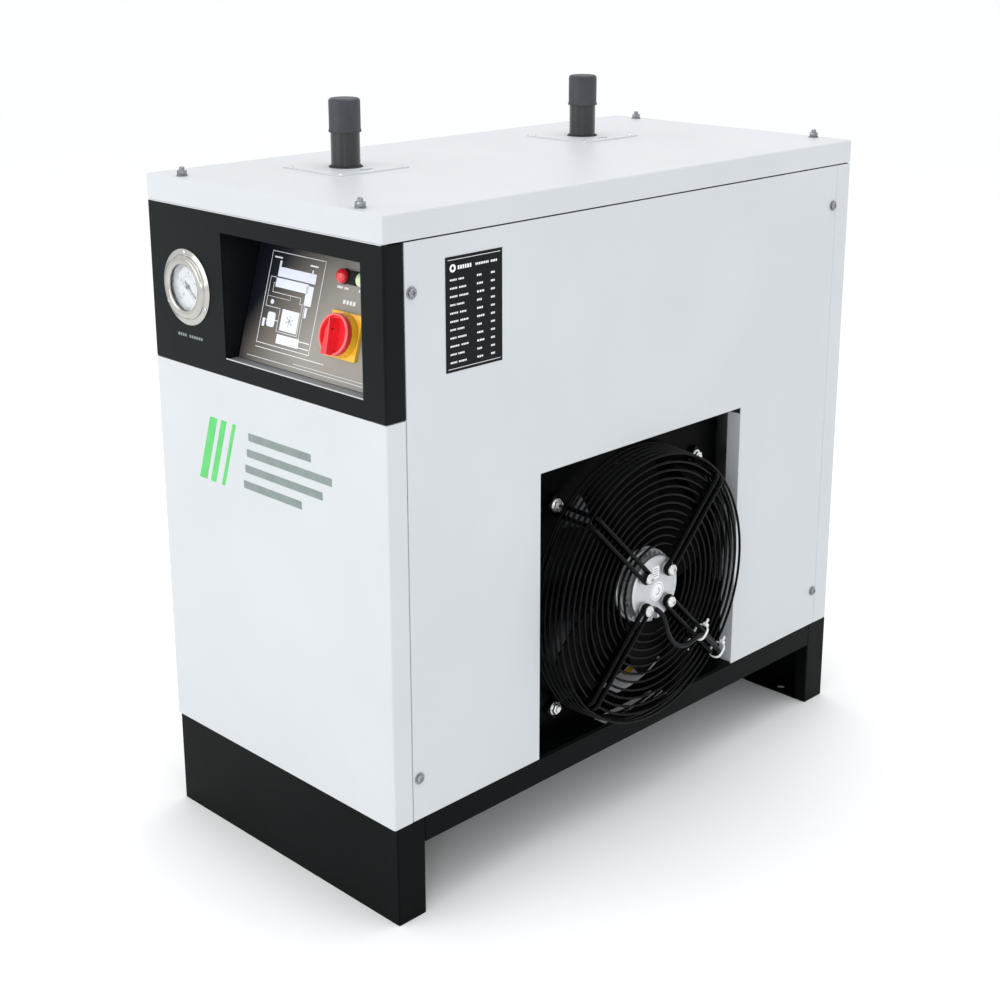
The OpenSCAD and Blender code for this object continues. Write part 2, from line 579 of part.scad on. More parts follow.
module drain_outlet() color("#c9a24c") difference() {
    union() {
        to_y([-60, hy - 22, 170]) cylinder(h = 56, r = 4.1);
        to_y([-60, hy - 10, 170]) cylinder(h = 16, r = 6.5);
        to_y([-60, hy + 0.1, 170]) cylinder(h = 5, r = 10, $fn = 6);
        to_y([-60, hy - 8, 170]) cylinder(h = 6.4, r = 10, $fn = 6);
    }
    to_y([-60, hy - 30, 170]) cylinder(h = 80, r = 2.4, $fn = 24);
}
module filter_drier() color("#b06a3b") translate([20, -250, 0]) rotate_extrude() polygon([[0, 210], [5, 210],
    [5, 222], [24, 236], [24, 344], [5, 358], [5, 372], [0, 372]]);
module hot_gas_valve() color("#c9a24c") translate([20, -70, 0]) {
    translate([0, 0, 430]) cylinder(h = 30, r = 12);
    translate([0, 0, 459]) cylinder(h = 26, r = 17);
    translate([0, 0, 484]) cylinder(h = 10, r = 6);
    to_x([-22, 0, 440]) cylinder(h = 44, r = 5);
}
module refrigerant_lines() color("#b8703f") {
    // discharge line: compressor, hot gas valve, condenser
    sweep([[-60, 40, comp_z + line_top], [-60, 40, 410], [-60, 30, 430], [-60, 10, 440], [-60, -50, 440],
        [-50, -66, 440], [-35, -70, 440], [-2.2, -70, 440]], 5);
    sweep([[42.4, -70, 440], [47, -70, 440], [51, -73, 440], [52, -80, 440], [52, -170, 440], [56, -182, 440],
        [70, -188, 440], [81, -184, 440], [85, -165.2, 440]], 5);
    // liquid line: condenser, drier, exchanger
    sweep([[85, -165.2, 132], [84, -184, 132], [76, -196, 134], [36, -240, 154], [24, -248, 170],
        [20, -250, 188], [20, -250, 209.8]], 4);
    sweep([[20, -250, 372.2], [20, -250, 450], [14, -246, 470], [-48, -206, 496], [-58, -201, 506],
        [-60, -200, 520], [-60, -200, 539.8]], 3);
    // suction line: exchanger, compressor
    sweep([[-100, -20, 539.8], [-100, -20, 440], [-102, -14, 420], [-118, 24, 400], [-120, 30, 384],
        [-120, 30, comp_z + line_top]], 8);
}
module fan_pressure_switch() color("#2a2c2e") translate([35, 120, 0]) {
    translate([0, 0, 300]) cylinder(h = 40, r = 14);
    translate([0, 0, 340]) cylinder(h = 14, r = 5);
    translate([-12, -16, 262]) cube([24, 32, 38.5]);
    translate([-14, -18, 258]) cube([3, 36, 42]);
}
module electrical_box() color("#c9cdd0") {
    block([-150, -post_y + post_t + 1, 400], [150, -330, 560]);
    for (x = [-100, -40, 40]) to_y([x, -331, 440]) cylinder(h = 8, r = 8);
}
module cable_gland() color("#1c1e20") difference() {
    union() {
        to_y([120, hy - 14, 190]) cylinder(h = 18, r = 10);
        to_y([120, hy + 0.1, 190]) cylinder(h = 6, r = 14, $fn = 6);
        to_y([120, hy + 6, 190]) rotate_extrude() polygon([[0, 0], [12, 0], [12, 10], [9, 16], [0, 16]]);
        to_y([120, hy - 8, 190]) cylinder(h = 6.4, r = 14, $fn = 6);
    }
    to_y([120, hy - 20, 190]) cylinder(h = 60, r = 5.5);
}

base_front_foot();
base_rear_foot();
base_rail_right();
base_rail_left();
base_deck();
corner_posts();
top_rails();
front_panel();
control_fascia();
control_pocket();
instrument_panel();
side_panel_right();
side_panel_left();
rear_panel();
lid();
port_plates();
port_plate_screws();
pipe_grommets();
inlet_pipe();
outlet_pipe();
inlet_cap();
outlet_cap();
lid_bolts();
panel_screws();
rating_plate();
gauge_case();
gauge_bezel();
gauge_dial();
gauge_needle();
gauge_lens();
gauge_screws();
switch_plate();
switch_knob();
switch_body();
lamp_red();
lamp_green();
lamp_sockets();
fan_shroud();
fan_guard();
fan_guard_bolts();
fan_motor();
fan_rotor();
fan_hub_bolts();
fan_lead();
cable_ties();
condenser();
compressor();
compressor_mounts();
heat_exchanger();
heat_exchanger_brackets();
moisture_separator();
drain_valve();
drain_hose();
drain_outlet();
filter_drier();
hot_gas_valve();
refrigerant_lines();
fan_pressure_switch();
electrical_box();
cable_gland();
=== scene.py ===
# %% [markdown]
# # A refrigerated air dryer
# The dryer is a sheet metal cabinet with a black base, a sloped control panel, two capped pipes on its
# lid and a fan behind a wire guard in one side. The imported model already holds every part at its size,
# so this script adds what a CAD model lacks: finishes, rounded edges, prints, screws with real heads,
# curved blades and a smooth lead. A piece that replaces a part of the model stands in that part's place.

# %% Load the frame
import json
import math

import bmesh
import bpy
from mathutils import Matrix, Vector


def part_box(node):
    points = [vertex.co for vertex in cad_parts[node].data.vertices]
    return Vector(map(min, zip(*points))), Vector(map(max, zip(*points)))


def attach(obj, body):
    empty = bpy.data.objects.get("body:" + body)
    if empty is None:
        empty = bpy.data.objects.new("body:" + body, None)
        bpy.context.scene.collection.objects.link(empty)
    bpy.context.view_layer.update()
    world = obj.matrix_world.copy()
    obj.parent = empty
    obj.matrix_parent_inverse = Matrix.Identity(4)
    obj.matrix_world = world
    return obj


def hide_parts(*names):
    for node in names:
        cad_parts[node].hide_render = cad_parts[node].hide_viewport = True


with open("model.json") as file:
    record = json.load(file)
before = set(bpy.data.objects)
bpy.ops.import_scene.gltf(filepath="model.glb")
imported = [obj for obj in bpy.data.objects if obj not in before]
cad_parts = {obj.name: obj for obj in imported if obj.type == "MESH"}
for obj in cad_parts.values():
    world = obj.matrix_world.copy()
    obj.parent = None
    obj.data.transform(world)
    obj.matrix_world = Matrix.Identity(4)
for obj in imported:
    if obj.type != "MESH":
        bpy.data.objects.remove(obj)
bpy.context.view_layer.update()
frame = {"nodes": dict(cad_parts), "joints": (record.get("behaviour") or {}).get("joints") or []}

mm = 0.001
scene = bpy.context.scene
joints = {joint["name"]: joint for joint in frame["joints"]}
print("nodes:", len(frame["nodes"]), "joints:", sorted(joints))

# %% [markdown]
# ## Camera, light and floor
# The cabinet is seen from its front right corner, from a little above. A lens of 60 mm keeps the
# upright edges nearly parallel, and a small shift keeps the cabinet in the picture without tilting the
# camera further. The light is soft: a bright pale world, a wide key light from the front left, a small
# cool lamp off the front right corner, a faint fill on the fan side and a strip above the lid.

# %% Camera
view_azimuth = math.radians(44.58)
view_elevation = math.radians(16.14)
view_distance = 2.190
view_target = Vector((-0.0834, 0.0635, 0.4437))
view_back = Vector((
    math.sin(view_azimuth) * math.cos(view_elevation),
    -math.cos(view_azimuth) * math.cos(view_elevation),
    math.sin(view_elevation),
))
camera_data = bpy.data.cameras.new("camera")
camera_data.lens = 59.86
camera_data.sensor_width = 36
camera_data.shift_x = -0.011
camera_data.shift_y = -0.1
camera = bpy.data.objects.new("camera", camera_data)
camera.location = view_target + view_back * view_distance
camera.rotation_euler = (-view_back).to_track_quat("-Z", "Y").to_euler()
scene.collection.objects.link(camera)
scene.camera = camera
print("camera at", [round(c, 3) for c in camera.location])


# %% Lights
def soft_light(name, place, aim, width, height, power, tint):
    data = bpy.data.lights.new(name, "AREA")
    data.shape = "RECTANGLE"
    data.size = width
    data.size_y = height
    data.energy = power
    data.color = tint
    light = bpy.data.objects.new(name, data)
    light.location = place
    direction = Vector(aim) - Vector(place)
    light.rotation_euler = direction.to_track_quat("-Z", "Y").to_euler()
    scene.collection.objects.link(light)


soft_light("key", (-0.9, -3.2, 1.5), (0, 0, 0.5), 2.4, 2.2, 26, (1.0, 0.99, 0.97))
soft_light("corner_fill", (2.3, -2.9, 1.2), (0, 0, 0.4), 0.28, 0.28, 9.5, (0.80, 0.93, 1.0))
soft_light("side_fill", (3.0, 0.4, 1.5), (0, 0, 0.4), 2.0, 2.4, 1, (0.80, 0.91, 1.0))
soft_light("top_strip", (0.2, 0.3, 3.0), (0, 0, 0.6), 2.6, 1.2, 18, (1.0, 1.0, 1.0))

world = bpy.data.worlds.new("pale_studio")
scene.world = world
world.use_nodes = True
backdrop = world.node_tree.nodes["Background"]
backdrop.inputs["Color"].default_value = (0.985, 0.995, 1.0, 1)
backdrop.inputs["Strength"].default_value = 1.03
scene.view_settings.view_transform = "Standard"

# %% [markdown]
# ## Finishes
# Each finish is one function that writes out its nodes, so that parts of one make-up share it. The
# patterns read Object coordinates, which are metres on these parts, so a noise scale of 700 gives
# grains about a millimetre and a half across: the orange peel that a powder coat has.


# %% Start of a finish
def empty_material(name):
    """A new material, with its cleared nodes and its links."""
    material = bpy.data.materials.new(name)
    material.use_nodes = True
    tree = material.node_tree
    tree.nodes.clear()
    return material, tree.nodes, tree.links


print("finishes start from an empty tree")


# %% Powder coat on sheet metal
def powder_coat(name, light, dark, rough, peel=700, relief=0.05, shine=0.45):
    material, nodes, links = empty_material(name)
    tint_frame = nodes.new("NodeFrame")
    tint_frame.label = "Drift of the coat's tint"
    grain_frame = nodes.new("NodeFrame")
    grain_frame.label = "Orange peel and gloss"
    place = nodes.new("ShaderNodeTexCoord")
    place.label = "Where on the sheet"
    cloud = nodes.new("ShaderNodeTexNoise")
    cloud.label = "Slow drift over a hand's width"
    tints = nodes.new("ShaderNodeValToRGB")
    tints.label = "Lightest and darkest tint"
    pebbles = nodes.new("ShaderNodeTexNoise")
    pebbles.label = "Pebbles of the sprayed powder"
    bump = nodes.new("ShaderNodeBump")
    bump.label = "Height of the pebbles"
    handling = nodes.new("ShaderNodeTexNoise")
    handling.label = "Patches rubbed by handling"
    gloss = nodes.new("ShaderNodeMapRange")
    gloss.label = "Roughness of the coat"
    coat = nodes.new("ShaderNodeBsdfPrincipled")
    coat.label = "Powder coat"
    out = nodes.new("ShaderNodeOutputMaterial")
    out.label = "To the surface"
    for node, x, y, box in (
        (place, -900, 0, None), (cloud, -680, 260, tint_frame), (tints, -460, 260, tint_frame),
        (pebbles, -680, -320, grain_frame), (bump, -460, -320, grain_frame),
        (handling, -680, -60, grain_frame), (gloss, -460, -60, grain_frame),
        (coat, -180, 0, None), (out, 120, 0, None),
    ):
        node.parent = box
        node.location = (x, y)
    cloud.inputs["Scale"].default_value = 5
    cloud.inputs["Detail"].default_value = 3
    tints.color_ramp.elements[0].position = 0.35
    tints.color_ramp.elements[0].color = (*dark, 1)
    tints.color_ramp.elements[1].position = 0.65
    tints.color_ramp.elements[1].color = (*light, 1)
    pebbles.inputs["Scale"].default_value = peel
    pebbles.inputs["Detail"].default_value = 2
    bump.inputs["Strength"].default_value = relief
    bump.inputs["Distance"].default_value = 0.0006
    handling.inputs["Scale"].default_value = 14
    handling.inputs["Detail"].default_value = 4
    gloss.inputs["To Min"].default_value = rough - 0.05
    gloss.inputs["To Max"].default_value = rough + 0.07
    coat.inputs["Specular IOR Level"].default_value = shine
    links.new(place.outputs["Object"], cloud.inputs["Vector"])
    links.new(place.outputs["Object"], pebbles.inputs["Vector"])
    links.new(place.outputs["Object"], handling.inputs["Vector"])
    links.new(cloud.outputs["Fac"], tints.inputs["Fac"])
    links.new(tints.outputs["Color"], coat.inputs["Base Color"])
    links.new(handling.outputs["Fac"], gloss.inputs["Value"])
    links.new(gloss.outputs["Result"], coat.inputs["Roughness"])
    links.new(pebbles.outputs["Fac"], bump.inputs["Height"])
    links.new(bump.outputs["Normal"], coat.inputs["Normal"])
    links.new(coat.outputs["BSDF"], out.inputs["Surface"])
    return material


white_coat = powder_coat("white_powder_coat", (0.595, 0.615, 0.64), (0.575, 0.595, 0.62), 0.42)
black_coat = powder_coat(
    "black_powder_coat", (0.0012, 0.002, 0.0023), (0.0007, 0.0012, 0.0014), 0.4, shine=0.06)
fascia_coat = powder_coat(
    "fascia_powder_coat", (0.0022, 0.0052, 0.006), (0.0013, 0.0036, 0.0042), 0.38, shine=0.11)
recess_coat = powder_coat(
    "recess_powder_coat", (0.006, 0.008, 0.010), (0.004, 0.0055, 0.007), 0.36, shine=0.12)
# A pale copy of the black coat for the recess's upward ledge: a painted reflection of the light above.
ledge_painted_reflection = powder_coat("ledge_coat_painted_reflection", (0.30, 0.33, 0.365), (0.25, 0.28, 0.31), 0.30, shine=0.4)
fan_coat = powder_coat("black_fan_paint", (0.001, 0.0012, 0.0013), (0.0006, 0.0008, 0.0009), 0.30, shine=0.03)
floor_coat = powder_coat("pale_floor", (0.975, 0.978, 0.98), (0.965, 0.968, 0.97), 0.7, 40, 0.01, shine=0.1)
print("powder coats:", white_coat.name, black_coat.name, fan_coat.name)


# %% [markdown]
# Bare metals get a grain: noise squeezed in one direction is a brushed or rolled grain, and the same
# noise left round is a cast skin. The grain drives roughness and a little relief, and a second, slow
# noise stains the colour.

# %% Bare and plated metal
def bare_metal(name, bright, dull, rough, grain=(1, 1, 1), fineness=500, relief=0.08):
    material, nodes, links = empty_material(name)
    stain_frame = nodes.new("NodeFrame")
    stain_frame.label = "Stains in the metal"
    grain_frame = nodes.new("NodeFrame")
    grain_frame.label = "Grain of the surface"
    place = nodes.new("ShaderNodeTexCoord")
    place.label = "Where on the part"
    stretch = nodes.new("ShaderNodeMapping")
    stretch.label = "Direction of the grain"
    scratches = nodes.new("ShaderNodeTexNoise")
    scratches.label = "Scratches or casting skin"
    sheen = nodes.new("ShaderNodeMapRange")
    sheen.label = "Roughness along the grain"
    bump = nodes.new("ShaderNodeBump")
    bump.label = "Depth of the grain"
    oxide = nodes.new("ShaderNodeTexNoise")
    oxide.label = "Patches of oxide"
    tints = nodes.new("ShaderNodeValToRGB")
    tints.label = "Dull and bright metal"
    metal = nodes.new("ShaderNodeBsdfPrincipled")
    metal.label = "Metal"
    out = nodes.new("ShaderNodeOutputMaterial")
    out.label = "To the surface"
    for node, x, y, box in (
        (place, -1100, 0, None), (stretch, -900, -160, grain_frame), (scratches, -690, -160, grain_frame),
        (sheen, -470, -60, grain_frame), (bump, -470, -320, grain_frame),
        (oxide, -690, 240, stain_frame), (tints, -470, 240, stain_frame),
        (metal, -180, 0, None), (out, 120, 0, None),
    ):
        node.parent = box
        node.location = (x, y)
    stretch.inputs["Scale"].default_value = grain
    scratches.inputs["Scale"].default_value = fineness
    scratches.inputs["Detail"].default_value = 4
    sheen.inputs["To Min"].default_value = max(rough - 0.09, 0.03)
    sheen.inputs["To Max"].default_value = rough + 0.10
    bump.inputs["Strength"].default_value = relief
    bump.inputs["Distance"].default_value = 0.0003
    oxide.inputs["Scale"].default_value = 45
    oxide.inputs["Detail"].default_value = 5
    tints.color_ramp.elements[0].position = 0.30
    tints.color_ramp.elements[0].color = (*dull, 1)
    tints.color_ramp.elements[1].position = 0.62
    tints.color_ramp.elements[1].color = (*bright, 1)
    metal.inputs["Metallic"].default_value = 1
    links.new(place.outputs["Object"], stretch.inputs["Vector"])
    links.new(place.outputs["Object"], oxide.inputs["Vector"])
    links.new(stretch.outputs["Vector"], scratches.inputs["Vector"])
    links.new(scratches.outputs["Fac"], sheen.inputs["Value"])
    links.new(sheen.outputs["Result"], metal.inputs["Roughness"])
    links.new(scratches.outputs["Fac"], bump.inputs["Height"])
    links.new(bump.outputs["Normal"], metal.inputs["Normal"])
    links.new(oxide.outputs["Fac"], tints.inputs["Fac"])
    links.new(tints.outputs["Color"], metal.inputs["Base Color"])
    links.new(metal.outputs["BSDF"], out.inputs["Surface"])
    return material


zinc = bare_metal("zinc_plate", (0.62, 0.64, 0.65), (0.50, 0.52, 0.54), 0.36, (1, 1, 0.2), 260)
stainless = bare_metal("stainless_screw", (0.78, 0.78, 0.77), (0.62, 0.62, 0.62), 0.22, (1, 1, 1), 900, 0.04)
# A darker steel for the casing's screws and lid bolts: partly the zinc's own grey, partly a painted
# reflection of dark surroundings.
screw_steel_painted_dark_reflection = bare_metal("grey_screw_painted_reflection", (0.34, 0.35, 0.37), (0.22, 0.23, 0.25), 0.24, (1, 1, 1), 900, 0.04)
bezel_steel = bare_metal(
    "polished_bezel", (0.52, 0.51, 0.48), (0.42, 0.41, 0.39), 0.16, (1, 0.2, 1), 700, 0.04)
cast_alu = bare_metal("cast_aluminium", (0.60, 0.61, 0.63), (0.50, 0.51, 0.53), 0.46, (1, 1, 1), 1100, 0.18)
# Aluminium fins given a dark colour: painted shade inside the fan's housing.
fin_alu_painted_shade = bare_metal("fin_stock_painted_shade", (0.16, 0.17, 0.18), (0.09, 0.10, 0.11), 0.38, (1, 0.05, 1), 420, 0.5)
brass = bare_metal("machined_brass", (0.78, 0.56, 0.22), (0.58, 0.40, 0.15), 0.28, (1, 1, 0.2), 500)
copper = bare_metal("drawn_copper", (0.72, 0.33, 0.18), (0.42, 0.18, 0.10), 0.30, (1, 1, 0.1), 300)
print("metals:", zinc.name, stainless.name, cast_alu.name, copper.name)


# %% [markdown]
# Plastics, rubber, foil and ink share one make-up: a moulded skin of tiny cells over a colour that
# varies very little. A glossy part has a flat skin, rubber a deep one.

# %% Moulded plastic, rubber, foil and ink
def moulded(name, light, dark, rough, cells=1600, relief=0.04, coat_weight=0.0, shine=0.5):
    material, nodes, links = empty_material(name)
    colour_frame = nodes.new("NodeFrame")
    colour_frame.label = "Colour through the plastic"
    skin_frame = nodes.new("NodeFrame")
    skin_frame.label = "Skin left by the mould"
    place = nodes.new("ShaderNodeTexCoord")
    place.label = "Where on the moulding"
    flow = nodes.new("ShaderNodeTexNoise")
    flow.label = "Flow of the pigment"
    tints = nodes.new("ShaderNodeValToRGB")
    tints.label = "Two tints of the pigment"
    skin = nodes.new("ShaderNodeTexVoronoi")
    skin.label = "Cells of the skin"
    bump = nodes.new("ShaderNodeBump")
    bump.label = "Depth of the cells"
    touch = nodes.new("ShaderNodeTexNoise")
    touch.label = "Finger marks"
    gloss = nodes.new("ShaderNodeMapRange")
    gloss.label = "Roughness with finger marks"
    plastic = nodes.new("ShaderNodeBsdfPrincipled")
    plastic.label = "Plastic"
    out = nodes.new("ShaderNodeOutputMaterial")
    out.label = "To the surface"
    for node, x, y, box in (
        (place, -900, 0, None), (flow, -680, 260, colour_frame), (tints, -460, 260, colour_frame),
        (skin, -680, -320, skin_frame), (bump, -460, -320, skin_frame),
        (touch, -680, -60, skin_frame), (gloss, -460, -60, skin_frame),
        (plastic, -180, 0, None), (out, 120, 0, None),
    ):
        node.parent = box
        node.location = (x, y)
    flow.inputs["Scale"].default_value = 60
    flow.inputs["Detail"].default_value = 3
    tints.color_ramp.elements[0].position = 0.35
    tints.color_ramp.elements[0].color = (*dark, 1)
    tints.color_ramp.elements[1].position = 0.65
    tints.color_ramp.elements[1].color = (*light, 1)
    skin.inputs["Scale"].default_value = cells
    bump.inputs["Strength"].default_value = relief
    bump.inputs["Distance"].default_value = 0.0003
    touch.inputs["Scale"].default_value = 120
    gloss.inputs["To Min"].default_value = max(rough - 0.06, 0.03)
    gloss.inputs["To Max"].default_value = rough + 0.08
    plastic.inputs["Specular IOR Level"].default_value = shine
    plastic.inputs["Coat Weight"].default_value = coat_weight
    plastic.inputs["Coat Roughness"].default_value = 0.08
    links.new(place.outputs["Object"], flow.inputs["Vector"])
    links.new(place.outputs["Object"], skin.inputs["Vector"])
    links.new(place.outputs["Object"], touch.inputs["Vector"])
    links.new(flow.outputs["Fac"], tints.inputs["Fac"])
    links.new(tints.outputs["Color"], plastic.inputs["Base Color"])
    links.new(skin.outputs["Distance"], bump.inputs["Height"])
    links.new(bump.outputs["Normal"], plastic.inputs["Normal"])
    links.new(touch.outputs["Fac"], gloss.inputs["Value"])
    links.new(gloss.outputs["Result"], plastic.inputs["Roughness"])
    links.new(plastic.outputs["BSDF"], out.inputs["Surface"])
    return material


cap_plastic = moulded("charcoal_cap", (0.036, 0.041, 0.050), (0.026, 0.030, 0.038), 0.50, 1300, 0.10)
black_plastic = moulded("black_plastic", (0.004, 0.005, 0.006), (0.002, 0.003, 0.004), 0.42, shine=0.2)
black_rubber = moulded("black_rubber", (0.011, 0.012, 0.013), (0.007, 0.008, 0.009), 0.62, 900, 0.15)
cable_skin = moulded("cable_jacket", (0.005, 0.006, 0.008), (0.003, 0.004, 0.005), 0.34, 2000, shine=0.14)
wire_coat = moulded("guard_wire_coat", (0.001, 0.0013, 0.0015), (0.0006, 0.0008, 0.001), 0.13, shine=0.075)
pipe_paint = moulded("pipe_paint", (0.016, 0.018, 0.020), (0.010, 0.011, 0.013), 0.26, 700, 0.05, 0.25)
yellow_plastic = moulded("signal_yellow", (0.98, 0.54, 0.02), (0.95, 0.50, 0.016), 0.26, 1800, 0.02, 0.3)
red_plastic = moulded("signal_red", (0.90, 0.022, 0.035), (0.84, 0.018, 0.030), 0.24, 1800, 0.02, 0.3)
# Paler red for the knob's rim: a painted highlight where the rim catches the light.
red_painted_highlight = moulded("red_rim_painted_highlight", (0.95, 0.22, 0.20), (0.90, 0.16, 0.15), 0.30, 1800, 0.02)
red_lens = moulded("red_lamp_lens", (0.90, 0.035, 0.045), (0.80, 0.018, 0.028), 0.10, 900, 0.02, 0.6)
green_lens = moulded("green_lamp_lens", (0.74, 0.92, 0.54), (0.62, 0.84, 0.46), 0.12, 900, 0.02, 0.6)
tie_nylon = moulded("white_nylon", (0.78, 0.80, 0.80), (0.72, 0.74, 0.75), 0.36)
foam = moulded("insulation_foam", (0.024, 0.025, 0.027), (0.014, 0.015, 0.016), 0.85, 420, 0.6)
hose_skin = moulded("blue_hose", (0.07, 0.16, 0.34), (0.05, 0.12, 0.27), 0.24)
dial_white = moulded("dial_face", (0.84, 0.87, 0.90), (0.80, 0.83, 0.87), 0.45, 2600, 0.02)
dial_ink = moulded("dial_ink", (0.02, 0.022, 0.03), (0.012, 0.014, 0.02), 0.50)
red_ink = moulded("dial_red_ink", (0.62, 0.03, 0.03), (0.55, 0.02, 0.02), 0.50)
foil_black = moulded("black_foil", (0.003, 0.004, 0.005), (0.002, 0.003, 0.004), 0.30, 900, shine=0.14)
foil_white = moulded("white_foil", (0.86, 0.86, 0.90), (0.78, 0.78, 0.82), 0.32, 900, 0.03)
white_ink = moulded("white_ink", (0.92, 0.93, 0.95), (0.86, 0.88, 0.91), 0.48)
block_ink = moulded("pale_block_ink", (0.84, 0.87, 0.98), (0.78, 0.81, 0.93), 0.46)
green_ink = moulded("green_ink", (0.10, 0.58, 0.15), (0.08, 0.52, 0.12), 0.44)
grey_ink = moulded("grey_ink", (0.22, 0.27, 0.26), (0.18, 0.23, 0.22), 0.44)
print("materials so far:", len(bpy.data.materials))


# %% [markdown]
# The foil on the sloped panel is taupe, with painted shade on it: nearly black in its upper left corner,
# where the recess's walls shade it. The painted shade is a colour ramp along a slanted direction across
# the cabinet's front.

# %% Foil with painted shade
def faded_foil(name, light, middle, dark):
    material, nodes, links = empty_material(name)
    painted_shade_frame = nodes.new("NodeFrame")
    painted_shade_frame.label = "Painted shade on the foil"
    grain_frame = nodes.new("NodeFrame")
    grain_frame.label = "Grain of the foil"
    place = nodes.new("ShaderNodeTexCoord")
    place.label = "Where on the foil"
    across = nodes.new("ShaderNodeVectorMath")
    across.operation = "DOT_PRODUCT"
    across.label = "Distance along the fade"
    reach = nodes.new("ShaderNodeMapRange")
    reach.label = "Start and end of the fade"
    shades = nodes.new("ShaderNodeValToRGB")
    shades.label = "Foil colour and painted shade"
    grain = nodes.new("ShaderNodeTexNoise")
    grain.label = "Grain of the foil"
    bump = nodes.new("ShaderNodeBump")
    bump.label = "Depth of the grain"
    foil = nodes.new("ShaderNodeBsdfPrincipled")
    foil.label = "Foil"
    out = nodes.new("ShaderNodeOutputMaterial")
    out.label = "To the surface"
    for node, x, y, box in (
        (place, -1100, 0, None), (across, -900, 220, painted_shade_frame), (reach, -700, 220, painted_shade_frame),
        (shades, -480, 220, painted_shade_frame), (grain, -700, -160, grain_frame), (bump, -480, -160, grain_frame),
        (foil, -180, 0, None), (out, 120, 0, None),
    ):
        node.parent = box
        node.location = (x, y)
    across.inputs[1].default_value = (1.0, 0.0, -0.75)
    reach.inputs["From Min"].default_value = -0.54
    reach.inputs["From Max"].default_value = -0.41
    shades.color_ramp.elements[0].position = 0.0
    shades.color_ramp.elements[0].color = (*dark, 1)
    shades.color_ramp.elements[1].position = 1.0
    shades.color_ramp.elements[1].color = (*light, 1)
    between = shades.color_ramp.elements.new(0.45)
    between.color = (*middle, 1)
    grain.inputs["Scale"].default_value = 1500
    bump.inputs["Strength"].default_value = 0.05
    bump.inputs["Distance"].default_value = 0.0003
    foil.inputs["Roughness"].default_value = 0.34
    foil.inputs["Specular IOR Level"].default_value = 0.3
    links.new(place.outputs["Object"], across.inputs[0])
    links.new(place.outputs["Object"], grain.inputs["Vector"])
    links.new(across.outputs["Value"], reach.inputs["Value"])
    links.new(reach.outputs["Result"], shades.inputs["Fac"])
    links.new(shades.outputs["Color"], foil.inputs["Base Color"])
    links.new(grain.outputs["Fac"], bump.inputs["Height"])
    links.new(bump.outputs["Normal"], foil.inputs["Normal"])
    links.new(foil.outputs["BSDF"], out.inputs["Surface"])
    return material


# The darkest colour is painted shade in the recess's upper left corner.
foil_painted_shade = faded_foil("panel_foil_painted_shade", (0.335, 0.32, 0.29), (0.15, 0.13, 0.112), (0.005, 0.007, 0.013))
print("foil:", foil_painted_shade.name)


# %% [markdown]
# The gauge's lens is clear glass. Only its roughness varies, with a faint smear. Its alpha is low, so
# that the dial under it stays bright.

# %% Glass
def clear_glass(name):
    material, nodes, links = empty_material(name)
    smear_frame = nodes.new("NodeFrame")
    smear_frame.label = "Smear on the lens"
    place = nodes.new("ShaderNodeTexCoord")
    place.label = "Where on the lens"
    smear = nodes.new("ShaderNodeTexNoise")
    smear.label = "Wiping marks"
    haze = nodes.new("ShaderNodeMapRange")
    haze.label = "Haze of the smear"
    glass = nodes.new("ShaderNodeBsdfPrincipled")
    glass.label = "Glass"
    out = nodes.new("ShaderNodeOutputMaterial")
    out.label = "To the surface"
    for node, x, y, box in (
        (place, -900, 0, None), (smear, -680, 0, smear_frame), (haze, -460, 0, smear_frame),
        (glass, -180, 0, None), (out, 120, 0, None),
    ):
        node.parent = box
        node.location = (x, y)
    smear.inputs["Scale"].default_value = 90
    haze.inputs["To Min"].default_value = 0.0
    haze.inputs["To Max"].default_value = 0.05
    glass.inputs["Transmission Weight"].default_value = 1
    glass.inputs["IOR"].default_value = 1.45
    glass.inputs["Alpha"].default_value = 0.3
    glass.inputs["Base Color"].default_value = (0.97, 0.985, 0.99, 1)
    links.new(place.outputs["Object"], smear.inputs["Vector"])
    links.new(smear.outputs["Fac"], haze.inputs["Value"])
    links.new(haze.outputs["Result"], glass.inputs["Roughness"])
    links.new(glass.outputs["BSDF"], out.inputs["Surface"])
    return material


lens_glass = clear_glass("gauge_glass")
print("glass:", lens_glass.name)

# %% [markdown]
# ## Finishing the model's own nodes
# A node whose shape is right keeps its mesh and only gets a finish.

